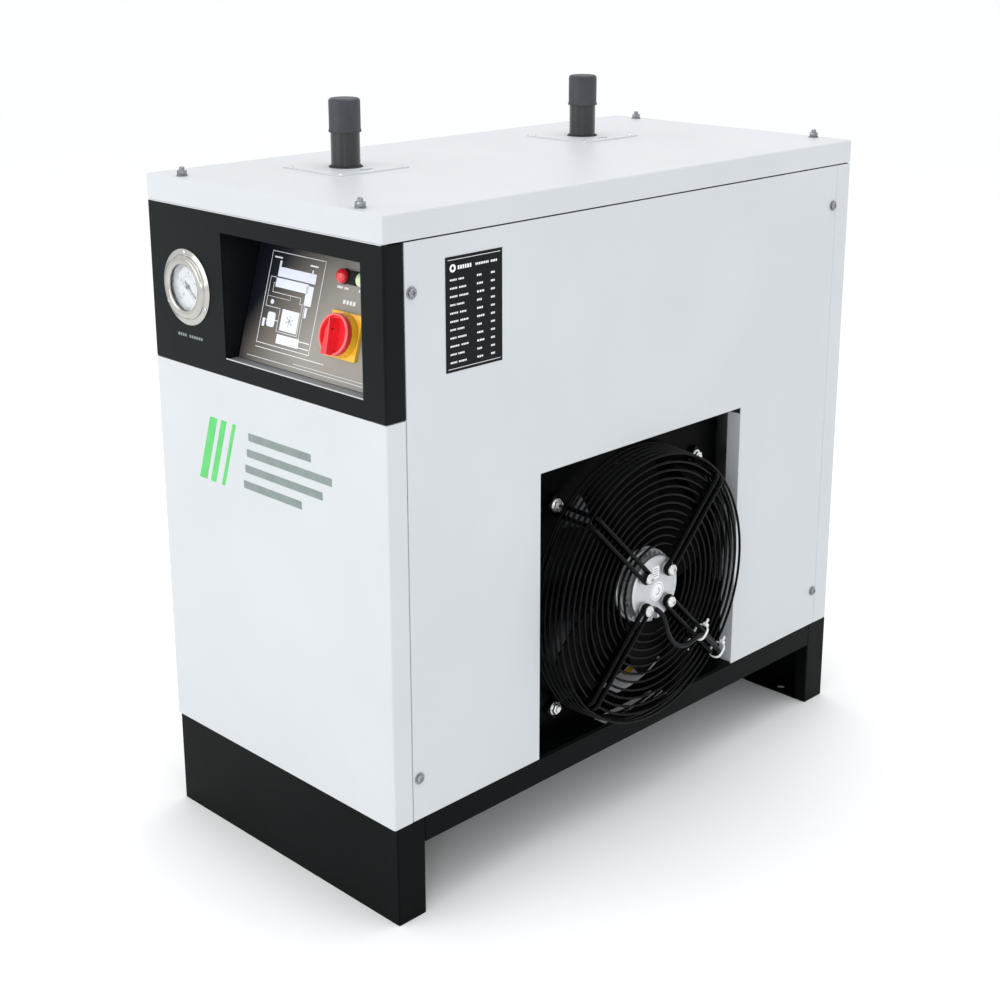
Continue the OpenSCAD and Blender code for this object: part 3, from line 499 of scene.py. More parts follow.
# %% Finishes on the model's nodes
finishes = {
    zinc: ["corner_posts", "top_rails", "heat_exchanger_brackets", "electrical_box"],
    black_coat: ["instrument_panel", "compressor", "base_deck", "control_fascia", "base_front_foot",
                 "base_rear_foot", "base_rail_right", "base_rail_left"],
    recess_coat: ["control_pocket"],
    white_coat: ["front_panel", "side_panel_right", "side_panel_left", "rear_panel", "lid", "port_plates"],
    fan_coat: ["fan_shroud", "fan_rotor"],
    wire_coat: ["fan_guard"],
    black_plastic: ["gauge_case", "switch_body", "lamp_sockets", "fan_pressure_switch", "cable_gland"],
    black_rubber: ["pipe_grommets", "compressor_mounts"],
    pipe_paint: ["inlet_pipe", "outlet_pipe"],
    cap_plastic: ["inlet_cap", "outlet_cap"],
    stainless: ["port_plate_screws", "lid_bolts", "panel_screws", "gauge_screws", "fan_guard_bolts",
                "fan_hub_bolts"],
    bezel_steel: ["gauge_bezel"],
    dial_white: ["gauge_dial"],
    dial_ink: ["gauge_needle"],
    lens_glass: ["gauge_lens"],
    foil_black: ["rating_plate"],
    yellow_plastic: ["switch_plate"],
    red_plastic: ["switch_knob"],
    red_lens: ["lamp_red"],
    green_lens: ["lamp_green"],
    cast_alu: ["fan_motor", "moisture_separator"],
    # The condenser's dark colour is painted shade.
    fin_alu_painted_shade: ["condenser"],
    cable_skin: ["fan_lead"],
    tie_nylon: ["cable_ties"],
    foam: ["heat_exchanger"],
    brass: ["drain_valve", "drain_outlet", "hot_gas_valve"],
    hose_skin: ["drain_hose"],
    copper: ["filter_drier", "refrigerant_lines"],
}
for material, names in finishes.items():
    for name in names:
        mesh = frame["nodes"][name].data
        mesh.materials.clear()
        mesh.materials.append(material)
finished_nodes = {name for names in finishes.values() for name in names}
print("nodes without a finish:", sorted(set(frame["nodes"]) - finished_nodes))

# %% [markdown]
# ## Helpers for new pieces
# A new piece is modelled in millimetres in a handy local frame, and `added` puts it in its place,
# closes its seams, shades it, gives it its finish and lets it ride on a body.

# %% Local frames
fan_axis = Vector(joints["fan_spin"]["pos_m"])
gauge_axis = Vector(joints["gauge_reading"]["pos_m"])
switch_axis = Vector(joints["switch_turn"]["pos_m"])
panel_normal = -Vector(joints["switch_turn"]["axis"]).normalized()


def local_frame(origin, right, up):
    """Millimetres, with x along right, y along up and z towards the viewer."""
    out = Vector(right).cross(Vector(up))
    turn = Matrix((Vector(right), Vector(up), out)).transposed().to_4x4()
    return Matrix.Translation(origin) @ turn @ Matrix.Scale(mm, 4)


in_mm = Matrix.Scale(mm, 4)
in_metres = Matrix.Identity(4)
at_fan = local_frame((0, fan_axis.y, fan_axis.z), (0, 1, 0), (0, 0, 1))
at_gauge = local_frame(gauge_axis, (1, 0, 0), (0, 0, 1))
at_switch = local_frame(switch_axis, (1, 0, 0), panel_normal.cross(Vector((1, 0, 0))))
on_front = local_frame((0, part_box("front_panel")[0].y, 0), (1, 0, 0), (0, 0, 1))
on_side = local_frame((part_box("side_panel_right")[1].x, 0, 0), (0, 1, 0), (0, 0, 1))
switch_up = 52.0          # height of the switch's axis on the sloped panel
switch_x = switch_axis.x / mm
on_panel = at_switch @ Matrix.Translation((-switch_x, -switch_up, 0))
print("fan axis", tuple(round(c, 3) for c in fan_axis), "gauge", tuple(round(c, 3) for c in gauge_axis))


# %% Helpers: from a shape to an object and back
def shape_of(mesh):
    """A shape to work on, from a finished mesh."""
    shape = bmesh.new()
    shape.from_mesh(mesh)
    return shape


def object_from(name, shape):
    """Puts the shape's mesh on a new object in the scene."""
    mesh = bpy.data.meshes.new(name)
    shape.to_mesh(mesh)
    shape.free()
    thing = bpy.data.objects.new(name, mesh)
    scene.collection.objects.link(thing)
    return thing


def moved(shape, matrix):
    bmesh.ops.transform(shape, matrix=matrix, verts=shape.verts)
    return shape


# %% Helper: put a shape in its place as a piece
def added(name, shape, place, material, body="root", stands_for=(), sharp=35):
    """Makes a piece; stands_for names the nodes that it replaces, and edges over sharp degrees stay sharp."""
    moved(shape, place)
    bmesh.ops.remove_doubles(shape, verts=shape.verts, dist=2e-6)
    bmesh.ops.recalc_face_normals(shape, faces=shape.faces)
    piece = object_from(name, shape)
    mesh = piece.data
    mesh.shade_smooth()
    mesh.set_sharp_from_angle(angle=math.radians(sharp))
    mesh.materials.append(material)
    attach(piece, body)
    if stands_for:
        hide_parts(*stands_for)
    print(name, len(mesh.polygons), "faces")
    return piece


def joined(shapes):
    """One shape from several, which are used up."""
    whole = bmesh.new()
    for shape in shapes:
        mesh = bpy.data.meshes.new("shape")
        shape.to_mesh(mesh)
        shape.free()
        whole.from_mesh(mesh)
        bpy.data.meshes.remove(mesh)
    return whole


# %% Helper: rounded edges, blocks and turned shapes
fine_steps = 96           # steps round a turned shape that is wide or seen from near by


def rounded(shape, edges, width, segments=3, clamp=True):
    bmesh.ops.bevel(shape, geom=edges, offset=width, offset_type="OFFSET", segments=segments,
                    profile=0.5, affect="EDGES", clamp_overlap=clamp, material=-1)


def sharp_edges(shape, angle=40):
    limit = math.radians(angle)
    return [e for e in shape.edges if len(e.link_faces) == 2 and e.calc_face_angle(0) > limit]


def block(low, high, corner=0.0, soft=0.0):
    """A block whose edges along z are rounded by corner, and the rest by soft."""
    low, high = Vector(low), Vector(high)
    shape = bmesh.new()
    fit = Matrix.Translation((low + high) / 2) @ Matrix.Diagonal((*(high - low), 1))
    bmesh.ops.create_cube(shape, size=1, matrix=fit)
    if corner:
        upright = [e for e in shape.edges if abs(e.verts[0].co.z - e.verts[1].co.z) > 1e-6]
        rounded(shape, upright, corner, 6)
    if soft:
        rounded(shape, sharp_edges(shape), soft)
    return shape


def turned(outline, steps=64, closed=False, soft=0.0):
    """Spins an outline of (radius, height) round the local z axis."""
    shape = bmesh.new()
    points = [shape.verts.new((r, 0, z)) for r, z in outline]
    for a, b in zip(points, points[1:]):
        shape.edges.new((a, b))
    if closed:
        shape.edges.new((points[-1], points[0]))
    bmesh.ops.spin(shape, geom=shape.verts[:] + shape.edges[:], cent=(0, 0, 0), axis=(0, 0, 1),
                   angle=math.tau, steps=steps, use_merge=True)
    bmesh.ops.remove_doubles(shape, verts=shape.verts, dist=1e-4)
    bmesh.ops.recalc_face_normals(shape, faces=shape.faces)
    if soft:
        rounded(shape, sharp_edges(shape, 30), soft, 2)
    return shape


def quarter_round(across, low, rise, steps, core=0.0):
    """Outline points from the side of a dome to its top, which ends at core from the axis."""
    angles = (i * math.pi / 2 / steps for i in range(steps))
    side = [(core + across * math.cos(a), low + rise * math.sin(a)) for a in angles]
    return side + [(core, low + rise)]


def curve_shape(carrier):
    """The shape of a curve or text object, which is removed."""
    mesh = bpy.data.meshes.new_from_object(carrier)
    shape = shape_of(mesh)
    bpy.data.meshes.remove(mesh)
    bpy.data.curves.remove(carrier.data)
    return shape


def tube(points, radius, sides=5):
    """A smooth round tube along points, as a curve made into a mesh."""
    curve = bpy.data.curves.new("route", "CURVE")
    curve.dimensions = "3D"
    curve.bevel_depth = radius
    curve.bevel_resolution = sides
    curve.use_fill_caps = True
    spline = curve.splines.new("NURBS")
    spline.points.add(len(points) - 1)
    for target, point in zip(spline.points, points):
        target.co = (*point, 1)
    spline.use_endpoint_u = True
    spline.order_u = 3
    spline.resolution_u = 6
    return curve_shape(bpy.data.objects.new("route", curve))


print("helpers ready")

# %% [markdown]
# ## Sheet metal with folded edges
# Folded sheet has a soft outer corner of two to three millimetres, and its cut edges are only broken by
# the coat. A merged copy of the node gets both: a wide bevel on its folds and a fine one on the rest.
# Weighted normals keep the wide faces flat to the light.


# %% Helper: a sheet with soft folds
def sheet_metal(node, material, is_fold, fold=2.4, cut=0.35):
    shape = shape_of(frame["nodes"][node].data)
    bmesh.ops.remove_doubles(shape, verts=shape.verts, dist=1e-5)
    bmesh.ops.dissolve_limit(shape, angle_limit=math.radians(1), verts=shape.verts, edges=shape.edges)
    sharp = sharp_edges(shape, 50)
    folds = [e for e in sharp if is_fold((e.verts[0].co + e.verts[1].co) / 2, e)]
    if folds:
        rounded(shape, folds, fold * mm, 5, clamp=False)
    rounded(shape, sharp_edges(shape, 50), cut * mm, 2, clamp=False)
    piece = added(node + "_sheet", shape, in_metres, material, stands_for=(node,), sharp=40)
    weighted = piece.modifiers.new("flat_faces", "WEIGHTED_NORMAL")
    weighted.keep_sharp = True


def on_outer_corner(node):
    """True for the edges that run along the node's own outer corners."""
    low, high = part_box(node)

    def is_fold(middle, edge):
        near_x = min(abs(middle.x - low.x), abs(middle.x - high.x)) < 1e-4
        near_y = min(abs(middle.y - low.y), abs(middle.y - high.y)) < 1e-4
        near_top = abs(middle.z - high.z) < 1e-4 and node == "lid"
        long = (edge.verts[0].co - edge.verts[1].co).length > 0.02
        return long and (near_x + near_y + near_top) >= 2

    return is_fold


# %% The casing and the base
for node in ("front_panel", "rear_panel", "lid"):
    sheet_metal(node, white_coat, on_outer_corner(node))
sheet_metal("control_fascia", fascia_coat, on_outer_corner("control_fascia"))
for node in ("base_front_foot", "base_rear_foot"):
    sheet_metal(node, black_coat, on_outer_corner(node), fold=2.0)
for node in ("base_rail_right", "base_rail_left"):
    sheet_metal(node, black_coat, lambda middle, edge: False)


def on_side_face(node, x):
    """True for the long edges in a side panel's outer face."""
    return lambda middle, edge: abs(middle.x - x) < 1e-4 and edge.calc_length() > 0.05


for node, side in (("side_panel_right", 1), ("side_panel_left", 0)):
    face_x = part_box(node)[side].x
    sheet_metal(node, white_coat, on_side_face(node, face_x), fold=0.9, cut=0.25)

# %% [markdown]
# Under the lid a white strip fills the gap over the fascia: a painted highlight of the fascia's lit top
# edge. The lower edge of the control recess has a white strip, a painted highlight of its fold, and a
# paler ledge runs from there back to the sloped panel: a painted reflection of the light above on the
# black sheet.

# %% Painted highlights under the lid and at the recess's edge, painted reflection on the ledge
fascia_low, fascia_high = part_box("control_fascia")
recess_low, recess_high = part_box("instrument_panel")
front_y = fascia_low.y / mm
# A white strip in the gap under the lid: a painted highlight of the fascia's top edge.
lid_gap_painted_highlight = block(
    (fascia_low.x / mm + 3, front_y + 0.1, fascia_high.z / mm + 0.05),
    (fascia_high.x / mm - 3, front_y + 9, fascia_high.z / mm + 1.2), soft=0.2)
added("lid_gap_painted_highlight", lid_gap_painted_highlight, in_mm, white_coat)
panel_foot = on_panel.translation / mm
recess_left, recess_right = recess_low.x / mm + 1.6, recess_high.x / mm - 1.6
# A white strip on the recess's lower edge: a painted highlight of its fold.
recess_edge_painted_highlight = block(
    (recess_left, front_y + 0.1, panel_foot.z + 0.05),
    (recess_right, front_y + 1.7, panel_foot.z + 1.25), soft=0.3)
added("recess_edge_painted_highlight", recess_edge_painted_highlight, in_mm, white_coat)
# A pale ledge: a painted reflection of the light above on the black sheet.
recess_ledge_painted_reflection = block(
    (recess_left, front_y + 1.8, panel_foot.z - 0.6),
    (recess_right, panel_foot.y - 0.3, panel_foot.z + 0.1), soft=0.15)
added("recess_ledge_painted_reflection", recess_ledge_painted_reflection, in_mm, ledge_painted_reflection)


# %% [markdown]
# ## The control panel
# A taupe foil lies on the sloped sheet. Its print is a generic flow diagram: two wide exchangers, a
# separator beside them, a compressor, a fan coil and the lines that join them. Each block is a thin
# raised slab, so that it stays crisp in a close view.

# %% Foil on the panel
# The foil's finish carries painted shade in its upper left corner.
panel_foil = block((-63, 0.4, 0.05), (164, 141, 0.35), corner=0.3)
added("panel_foil", panel_foil, on_panel, foil_painted_shade)

# %% Flow diagram
frame_left, frame_right, frame_low, frame_high = -37.8, 52.0, 22.0, 122.5
print_low, print_high = 0.35, 0.50


def on_diagram(u, v):
    """A place in the frame: u from its left edge and v from its top edge, both from 0 to 1."""
    return frame_left + u * (frame_right - frame_left), frame_high - v * (frame_high - frame_low)


def diagram_block(u0, v0, u1, v1, corner=0.0):
    x0, y1 = on_diagram(u0, v0)
    x1, y0 = on_diagram(u1, v1)
    return block((x0, y0, print_low), (x1, y1, print_high), corner)


def diagram_line(*stops, width=0.55):
    """Straight upright or level strokes through the stops."""
    strokes = []
    for (u0, v0), (u1, v1) in zip(stops, stops[1:]):
        x0, y0 = on_diagram(u0, v0)
        x1, y1 = on_diagram(u1, v1)
        low = (min(x0, x1) - width / 2, min(y0, y1) - width / 2, print_low)
        high = (max(x0, x1) + width / 2, max(y0, y1) + width / 2, print_high)
        strokes.append(block(low, high))
    return joined(strokes)


diagram_blocks = [
    diagram_block(0.17, 0.155, 0.88, 0.26),
    diagram_block(0.16, 0.275, 0.77, 0.375),
    diagram_block(0.74, 0.29, 0.87, 0.50),
    diagram_block(0.17, 0.09, 0.205, 0.16),
    diagram_block(0.78, 0.52, 0.82, 0.63, 0.8),
    diagram_block(0.13, 0.515, 0.19, 0.565, 2.2),
    diagram_block(0.12, 0.65, 0.27, 0.81, 3.0),
    diagram_block(0.04, 0.73, 0.085, 0.82),
    diagram_block(0.38, 0.59, 0.70, 0.82),
    diagram_block(0.36, 0.865, 0.78, 0.965),
]
added("diagram_blocks", joined(diagram_blocks), on_panel, block_ink)
diagram_lines = [
    diagram_line((0, 0), (1, 0), (1, 1), (0, 1), (0, 0), width=0.7),
    diagram_line((0.16, 0.275), (0.05, 0.275), (0.05, 0.595), (0.33, 0.595), (0.33, 0.84), (0.36, 0.84)),
    diagram_line((0.16, 0.335), (0.13, 0.335), (0.13, 0.435), (0.67, 0.435), (0.67, 0.50)),
    diagram_line((0.06, 0.485), (0.48, 0.485), (0.48, 0.435), width=0.35),
    diagram_line((0.67, 0.50), (0.72, 0.50), (0.72, 0.84), (0.38, 0.84)),
    diagram_line((0.74, 0.48), (0.76, 0.48), (0.76, 0.865)),
    diagram_line((0.27, 0.73), (0.33, 0.73), width=0.9),
    diagram_line((0.085, 0.74), (0.12, 0.74)),
    diagram_line((0.80, 0.13), (0.80, 0.155), width=2.2),
    diagram_line((0.78, 0.885), (0.97, 0.885), width=1.0),
    diagram_line((0.78, 0.95), (0.97, 0.95), width=1.0),
    diagram_line((0.06, 0.06), (0.19, 0.06), width=1.6),
    diagram_line((0.74, 0.075), (0.87, 0.075), width=1.6),
    block((-38, 16.6, print_low), (78, 17.3, print_high)),
    block((30, 8.8, print_low), (158, 9.3, print_high)),
    block((-50, 5.4, print_low), (162, 6.0, print_high)),
]
added("diagram_lines", joined(diagram_lines), on_panel, white_ink)
fan_symbol = [moved(block((-6.5, -0.35, 0.5), (6.5, 0.35, 0.6)),
                    Matrix.Translation((*on_diagram(0.54, 0.705), 0)) @ Matrix.Rotation(turn, 4, "Z"))
              for turn in (math.radians(a) for a in (20, 80, 140))]
added("diagram_fan", joined(fan_symbol), on_panel, grey_ink)


# %% [markdown]
# Captions are rows of short dashes that only stand where a caption would stand.

# %% Captions on the panel and under the gauge
def dashes(x0, x1, y, height, counts, low, high):
    """A row of dashes in groups, like the words of a caption."""
    strokes = []
    step = (x1 - x0) / (sum(counts) + len(counts) - 1)
    x = x0
    for count in counts:
        for _ in range(count):
            strokes.append(block((x, y - height / 2, low), (x + step * 0.68, y + height / 2, high)))
            x += step
        x += step
    return joined(strokes)


ink_low, ink_high = 0.02, 0.16
captions = [
    dashes(77, 95, 100, 2.6, (4, 3), print_low, print_high),
    dashes(111, 124, 100, 2.6, (5,), print_low, print_high),
    dashes(90, 111, 86, 4.2, (4,), print_low, print_high),
]
added("panel_captions", joined(captions), on_panel, white_ink)
gauge_caption = dashes(-153, -105.6, 604, 3.2, (4, 6), ink_low, ink_high)
added("gauge_caption", gauge_caption, on_front, grey_ink)

# %% [markdown]
# ## Main switch and lamps
# The switch has a yellow plate with a raised collar and a red knob with a dished face and a paler rim,
# which is a painted highlight. The knob's grip is a bar, narrow at its upper end and wide at its lower
# one, with a black plug across it: painted shade where a padlock hole would be dark. Each lamp is a
# domed lens in a thin ring, and a black block lies under both, where the panel between them is dark.

# %% Yellow plate
plate_half = 24.4
plate = block((-plate_half, -plate_half, 0), (plate_half, plate_half, 4.2), corner=2.5, soft=0.7)
collar = turned([(0, 3.8), (23.6, 3.8), (23.4, 6.0), (22.4, 11.2), (0, 11.2)], fine_steps, soft=0.5)
added("switch_plate_with_collar", joined([plate, collar]), at_switch, yellow_plastic,
      stands_for=("switch_plate",))

# %% Red knob
knob_face = turned([
    (0, 11.5), (21.4, 11.5), (22.2, 12.2), (22.4, 16.4), (21.9, 17.7), (20.9, 18.3), (19.9, 18.2),
    (19.2, 17.4), (18.2, 14.4), (0, 13.6),
], fine_steps)


def prism(outline, low, high, soft=0.0):
    """A slab with the given outline in the xy plane."""
    shape = bmesh.new()
    rim = [shape.verts.new((x, y, low)) for x, y in outline]
    face = shape.faces.new(rim)
    top = bmesh.ops.extrude_face_region(shape, geom=[face])
    moving = [g for g in top["geom"] if isinstance(g, bmesh.types.BMVert)]
    bmesh.ops.translate(shape, vec=(0, 0, high - low), verts=moving)
    bmesh.ops.recalc_face_normals(shape, faces=shape.faces)
    if soft:
        rounded(shape, sharp_edges(shape), soft)
    return shape


grip = prism([(-0.6, 17.2), (0.6, 17.2), (3.0, 4), (5.9, -21.2), (-5.9, -21.2), (-3.0, 4)], 13.0, 26.5, 0.7)
grip_taper, grip_foot = 0.018, 15.5
for vertex in grip.verts:
    vertex.co.x *= 1 - grip_taper * (vertex.co.z - grip_foot)
# The rim is a ring in paler red: a painted highlight on the knob's edge.
knob_rim_painted_highlight = turned([
    (19.9, 18.2), (20.9, 18.3), (21.9, 17.7), (22.2, 16.9), (22.35, 17.9), (21.2, 18.9), (20.0, 18.7),
], fine_steps, closed=True)
added("knob_rim_painted_highlight", knob_rim_painted_highlight, at_switch, red_painted_highlight, body="switch_knob")
added("knob_with_grip", joined([knob_face, grip]), at_switch, red_plastic,
      body="switch_knob", stands_for=("switch_knob",))
# A black plug across the grip: painted shade where the padlock hole would be dark.
padlock_hole_painted_shade = turned([(0, -3.1), (1.3, -3.1), (1.3, 3.1), (0, 3.1)], 24)
padlock_place = at_switch @ Matrix.Translation((0, 5, 21.5)) @ Matrix.Rotation(math.pi / 2, 4, "Y")
added("knob_padlock_painted_shade", padlock_hole_painted_shade, padlock_place @ Matrix.Diagonal((1, 1, 0.82, 1)), black_plastic,
      body="switch_knob")

# %% Lamps
lamp_height = 112.0
# A black block under both lamps, where the panel between them is dark.
lamp_dark_block = block((84, lamp_height - 7.4, 0.3), (119, lamp_height + 7.4, 3.4), corner=2.5, soft=0.4)
added("lamp_dark_block", lamp_dark_block, on_panel, black_plastic)
for lamp, lamp_x, lens, slot in (
    ("lamp_red", 86.0, red_lens, "lamp_red_lens"),
    ("lamp_green", 117.0, green_lens, "lamp_green_lens"),
):
    lamp_lens = turned([(0, 0.4), (7.7, 0.4)] + quarter_round(7.7, 5.5, 4.6, 8), 64)
    place = on_panel @ Matrix.Translation((lamp_x, lamp_height, 0))
    added(lamp + "_dome", lamp_lens, place, lens, stands_for=(lamp,))
    ring = turned([(7.8, 0), (8.5, 0), (8.5, 1.4), (8.1, 2.0), (7.8, 2.0)], 64, closed=True)
    added(lamp + "_ring", ring, place, black_plastic)

# %% [markdown]
# ## Pressure gauge
# A pressed steel flange and bezel hold the lens. Its screws have domed heads with a cross recess, which
# is cut out of a turned dome, because a bevelled cylinder would look like a button. The dial carries
# an arc with forty steps, and plain numbers.

# %% Bezel and its screws
bezel = turned([
    (32, 0), (43, 0), (43, 1.0), (42.6, 1.3), (37.4, 1.5), (36.6, 2.4), (36.3, 3.6), (35.2, 4.0), (34.6, 5.4),
    (33.6, 6.1), (29.0, 6.2), (27.0, 5.6), (26.4, 4.9), (26.4, 4.0), (32, 4.0),
], 128, closed=True)
added("gauge_bezel_ring", bezel, at_gauge, bezel_steel, stands_for=("gauge_bezel",), sharp=50)


def cut_out(shape, cutter):
    """Takes the cutter away from the shape."""
    carriers = [object_from("carrier", part) for part in (shape, cutter)]
    difference = carriers[0].modifiers.new("cut", "BOOLEAN")
    difference.operation = "DIFFERENCE"
    difference.solver = "EXACT"
    difference.object = carriers[1]
    evaluated = carriers[0].evaluated_get(bpy.context.evaluated_depsgraph_get())
    cut = bpy.data.meshes.new_from_object(evaluated)
    result = shape_of(cut)
    for mesh in (carriers[0].data, carriers[1].data, cut):
        bpy.data.meshes.remove(mesh)
    return result


def pan_head(radius, height, washer=0.0):
    """A domed head with a cross recess, on a washer if one is asked for."""
    head = turned([(0, 0), (radius, 0)] + quarter_round(radius, height * 0.35, height * 0.65, 7), 40)
    arm, half_width = radius * 0.55, radius * 0.11
    for x, y in ((arm, half_width), (half_width, arm)):
        head = cut_out(head, block((-x, -y, height * 0.45), (x, y, height + 1)))
    if washer:
        disc = turned([(0, -0.9), (washer, -0.9), (washer, 0.0), (washer - 0.4, 0.3), (0, 0.3)], 40)
        head = joined([head, disc])
    return head


def solids_of(node):
    """The boxes of a node's separate solids, each as (low, high) in metres."""
    shape = shape_of(frame["nodes"][node].data)
    bmesh.ops.remove_doubles(shape, verts=shape.verts, dist=1e-6)
    waiting = set(shape.verts)
    boxes = []
    while waiting:
        island = {waiting.pop()}
        edge_of_search = list(island)
        while edge_of_search:
            vertex = edge_of_search.pop()
            for edge in vertex.link_edges:
                other = edge.other_vert(vertex)
                if other not in island:
                    island.add(other)
                    edge_of_search.append(other)
        waiting -= island
        corners = [[pick(v.co[i] for v in island) for i in range(3)] for pick in (min, max)]
        boxes.append((Vector(corners[0]), Vector(corners[1])))
    shape.free()
    return sorted(boxes, key=lambda box: tuple(round(c, 4) for c in box[0]))


gauge_head_height = 1.5
gauge_heads = []
for low, high in solids_of("gauge_screws"):
    middle = (low + high) / 2
    place = local_frame((middle.x, low.y, middle.z), (1, 0, 0), (0, 0, 1))
    place = place @ Matrix.Translation((0, 0, -gauge_head_height))
    spin = Matrix.Rotation(middle.x * 90, 4, "Z")
    gauge_heads.append(moved(pan_head(2.3, gauge_head_height), place @ spin))
added("gauge_screw_heads", joined(gauge_heads), in_metres, stainless,
      stands_for=("gauge_screws",))


# %% Dial
def ring_band(inner, outer, low, high, start, end, steps=48):
    """A flat band between two radii, from one angle to the other, clockwise from the top."""
    shape = bmesh.new()
    rows = []
    for i in range(steps + 1):
        a = math.radians(start + (end - start) * i / steps)
        rows.append([shape.verts.new((r * math.sin(a), r * math.cos(a), z))
                     for r, z in ((inner, low), (outer, low), (outer, high), (inner, high))])
    for one, other in zip(rows, rows[1:]):
        for k in range(4):
            shape.faces.new((one[k], one[(k + 1) % 4], other[(k + 1) % 4], other[k]))
    shape.faces.new(rows[0])
    shape.faces.new(reversed(rows[-1]))
    bmesh.ops.recalc_face_normals(shape, faces=shape.faces)
    return shape


dial_low, dial_high = -2.4, -2.3
dial_half = 135           # the scale runs this many degrees to each side of the top
dial_steps = 40
dial_marks = [ring_band(23.3, 23.7, dial_low, dial_high, -dial_half, dial_half),
              ring_band(12.0, 12.3, dial_low, dial_high, -dial_half, dial_half)]
for tick in range(dial_steps + 1):
    inner = 19.6 if tick % 10 == 0 else 21.0 if tick % 5 == 0 else 21.9
    half = 0.32 if tick % 5 == 0 else 0.14
    mark = block((-half, inner, dial_low), (half, 23.5, dial_high))
    turn = math.radians(dial_half - tick * 2 * dial_half / dial_steps)
    dial_marks.append(moved(mark, Matrix.Rotation(turn, 4, "Z")))
added("dial_marks", joined(dial_marks), at_gauge, dial_ink)
red_zone = ring_band(24.2, 25.2, dial_low, dial_high, 95, dial_half)
added("dial_red_zone", red_zone, at_gauge, red_ink)


def number(text, size, x, y, low, high):
    """A plain number, made from the built-in font."""
    curve = bpy.data.curves.new("number", "FONT")
    curve.body = text
    curve.size = size
    curve.align_x = "CENTER"
    curve.align_y = "CENTER"
    curve.extrude = (high - low) / 2
    carrier = bpy.data.objects.new("number", curve)
    scene.collection.objects.link(carrier)
    return moved(curve_shape(carrier), Matrix.Translation((x, y, (low + high) / 2)))


number_radius, number_size = 15.6, 5.2
scale_top = 8             # the last number on the scale
numbers = []
for value in range(0, scale_top + 1, 2):
    a = math.radians(-dial_half + value * 2 * dial_half / scale_top)
    x, y = number_radius * math.sin(a), number_radius * math.cos(a)
    numbers.append(number(str(value), number_size, x, y, dial_low, dial_high))
added("dial_numbers", joined(numbers), at_gauge, dial_ink)

# %% [markdown]
# ## Prints on the casing
# The rating plate is a black foil with rows of dashes and no words. The front carries a generic motif:
# slanted bars for moist air and level bars for dry air.

# %% Rating plate
plate_low, plate_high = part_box("rating_plate")
y0, y1 = plate_low.y / mm, plate_high.y / mm
z0, z1 = plate_low.z / mm, plate_high.z / mm
print_face = (0.5, 0.58)  # foot and top of the print, out from the side panel
heading = z1 - 12
plate_print = [
    block((y0 + 3, z1 - 3.6, print_face[0]), (y1 - 3, z1 - 3.1, print_face[1])),
    block((y0 + 3, z0 + 3.1, print_face[0]), (y1 - 3, z0 + 3.6, print_face[1])),
    moved(ring_band(2.0, 4.2, *print_face, 0, 360, 32), Matrix.Translation((y0 + 10, heading, 0))),
    dashes(y0 + 17, y0 + 37, heading, 4.0, (6,), *print_face),
    dashes(y0 + 42, y1 - 7, heading, 2.4, (8, 4), *print_face),
]
for row in range(11):
    z = z1 - 24 - row * 8.6
    plate_print += [
        dashes(y0 + 6, y0 + 26 + 3 * (row % 3), z, 1.9, (5, 4 + row % 4), *print_face),
        dashes(y0 + 44, y0 + 51 + 2 * (row % 3), z, 2.1, (3 + row % 2,), *print_face),
        dashes(y0 + 64, y0 + 70, z, 2.1, (3,), *print_face),
    ]
added("rating_plate_print", joined(plate_print), on_side, white_ink)

# %% Motif on the front
slanted_bars = []
for i, width in enumerate((14, 10, 6)):
    x = -126 + i * 21
    outline = [(x, 440), (x + width, 440), (x + width + 26, 517), (x + 26, 517)]
    slanted_bars.append(prism(outline, ink_low, ink_high))
added("front_motif_slanted", joined(slanted_bars), on_front, green_ink)
level_bars = []
for i, (start, end) in enumerate(((-30, 78), (-34, 112), (-38, 96), (-42, 60))):
    z = 508 - i * 19
    level_bars.append(block((start, z - 4.5, ink_low), (end, z + 4.5, ink_high)))
added("front_motif_level", joined(level_bars), on_front, grey_ink)

# %% [markdown]
# ## Screws of the casing and the lid
# The model's screws are plain solids. Each gets a real head in its place, with its top where the solid
# ends. Screws stop at any angle, so each head is turned further round than the one before.

# %% Heads over a node's screws
def heads_over(node, height, twist, make_head, upright=False):
    """Heads on the lid if upright, or else on the sides, each twist degrees past the last."""
    heads = []
    for low, high in solids_of(node):
        middle = (low + high) / 2
        if upright:
            end = local_frame((middle.x, middle.y, high.z), (1, 0, 0), (0, 1, 0))
        elif middle.x > 0:
            end = local_frame((high.x, middle.y, middle.z), (0, 1, 0), (0, 0, 1))
        else:
            end = local_frame((low.x, middle.y, middle.z), (0, -1, 0), (0, 0, 1))
        spin = Matrix.Rotation(math.radians(twist * len(heads)), 4, "Z")
        heads.append(moved(make_head(), end @ Matrix.Translation((0, 0, -height)) @ spin))
    return joined(heads)


side_head_height = 3.1
side_heads = heads_over("panel_screws", side_head_height, 37, lambda: pan_head(4.9, side_head_height, 6.5))
# The heads' darker steel is partly painted reflection.
added("side_screw_heads", side_heads, in_metres, screw_steel_painted_dark_reflection, stands_for=("panel_screws",))


# %% Bolts on the lid and screws of the port plates
def hexagon(radius, low, high, soft=0.35):
    corners = (math.radians(60 * k) for k in range(6))
    return prism([(radius * math.cos(a), radius * math.sin(a)) for a in corners], low, high, soft)


lid_bolt_height = 10.2


def lid_bolt_head():
    """A washer, a hexagon nut and the end of the stud through it."""
    washer = turned([(0, 0), (6.4, 0), (6.4, 1.2), (0, 1.2)], 40, soft=0.2)
    stud = turned([(0, 6.2), (3.0, 6.2), (3.0, 9.6), (2.4, lid_bolt_height), (0, lid_bolt_height)], 32)
    return joined([washer, hexagon(5.6, 1.2, 6.4), stud])


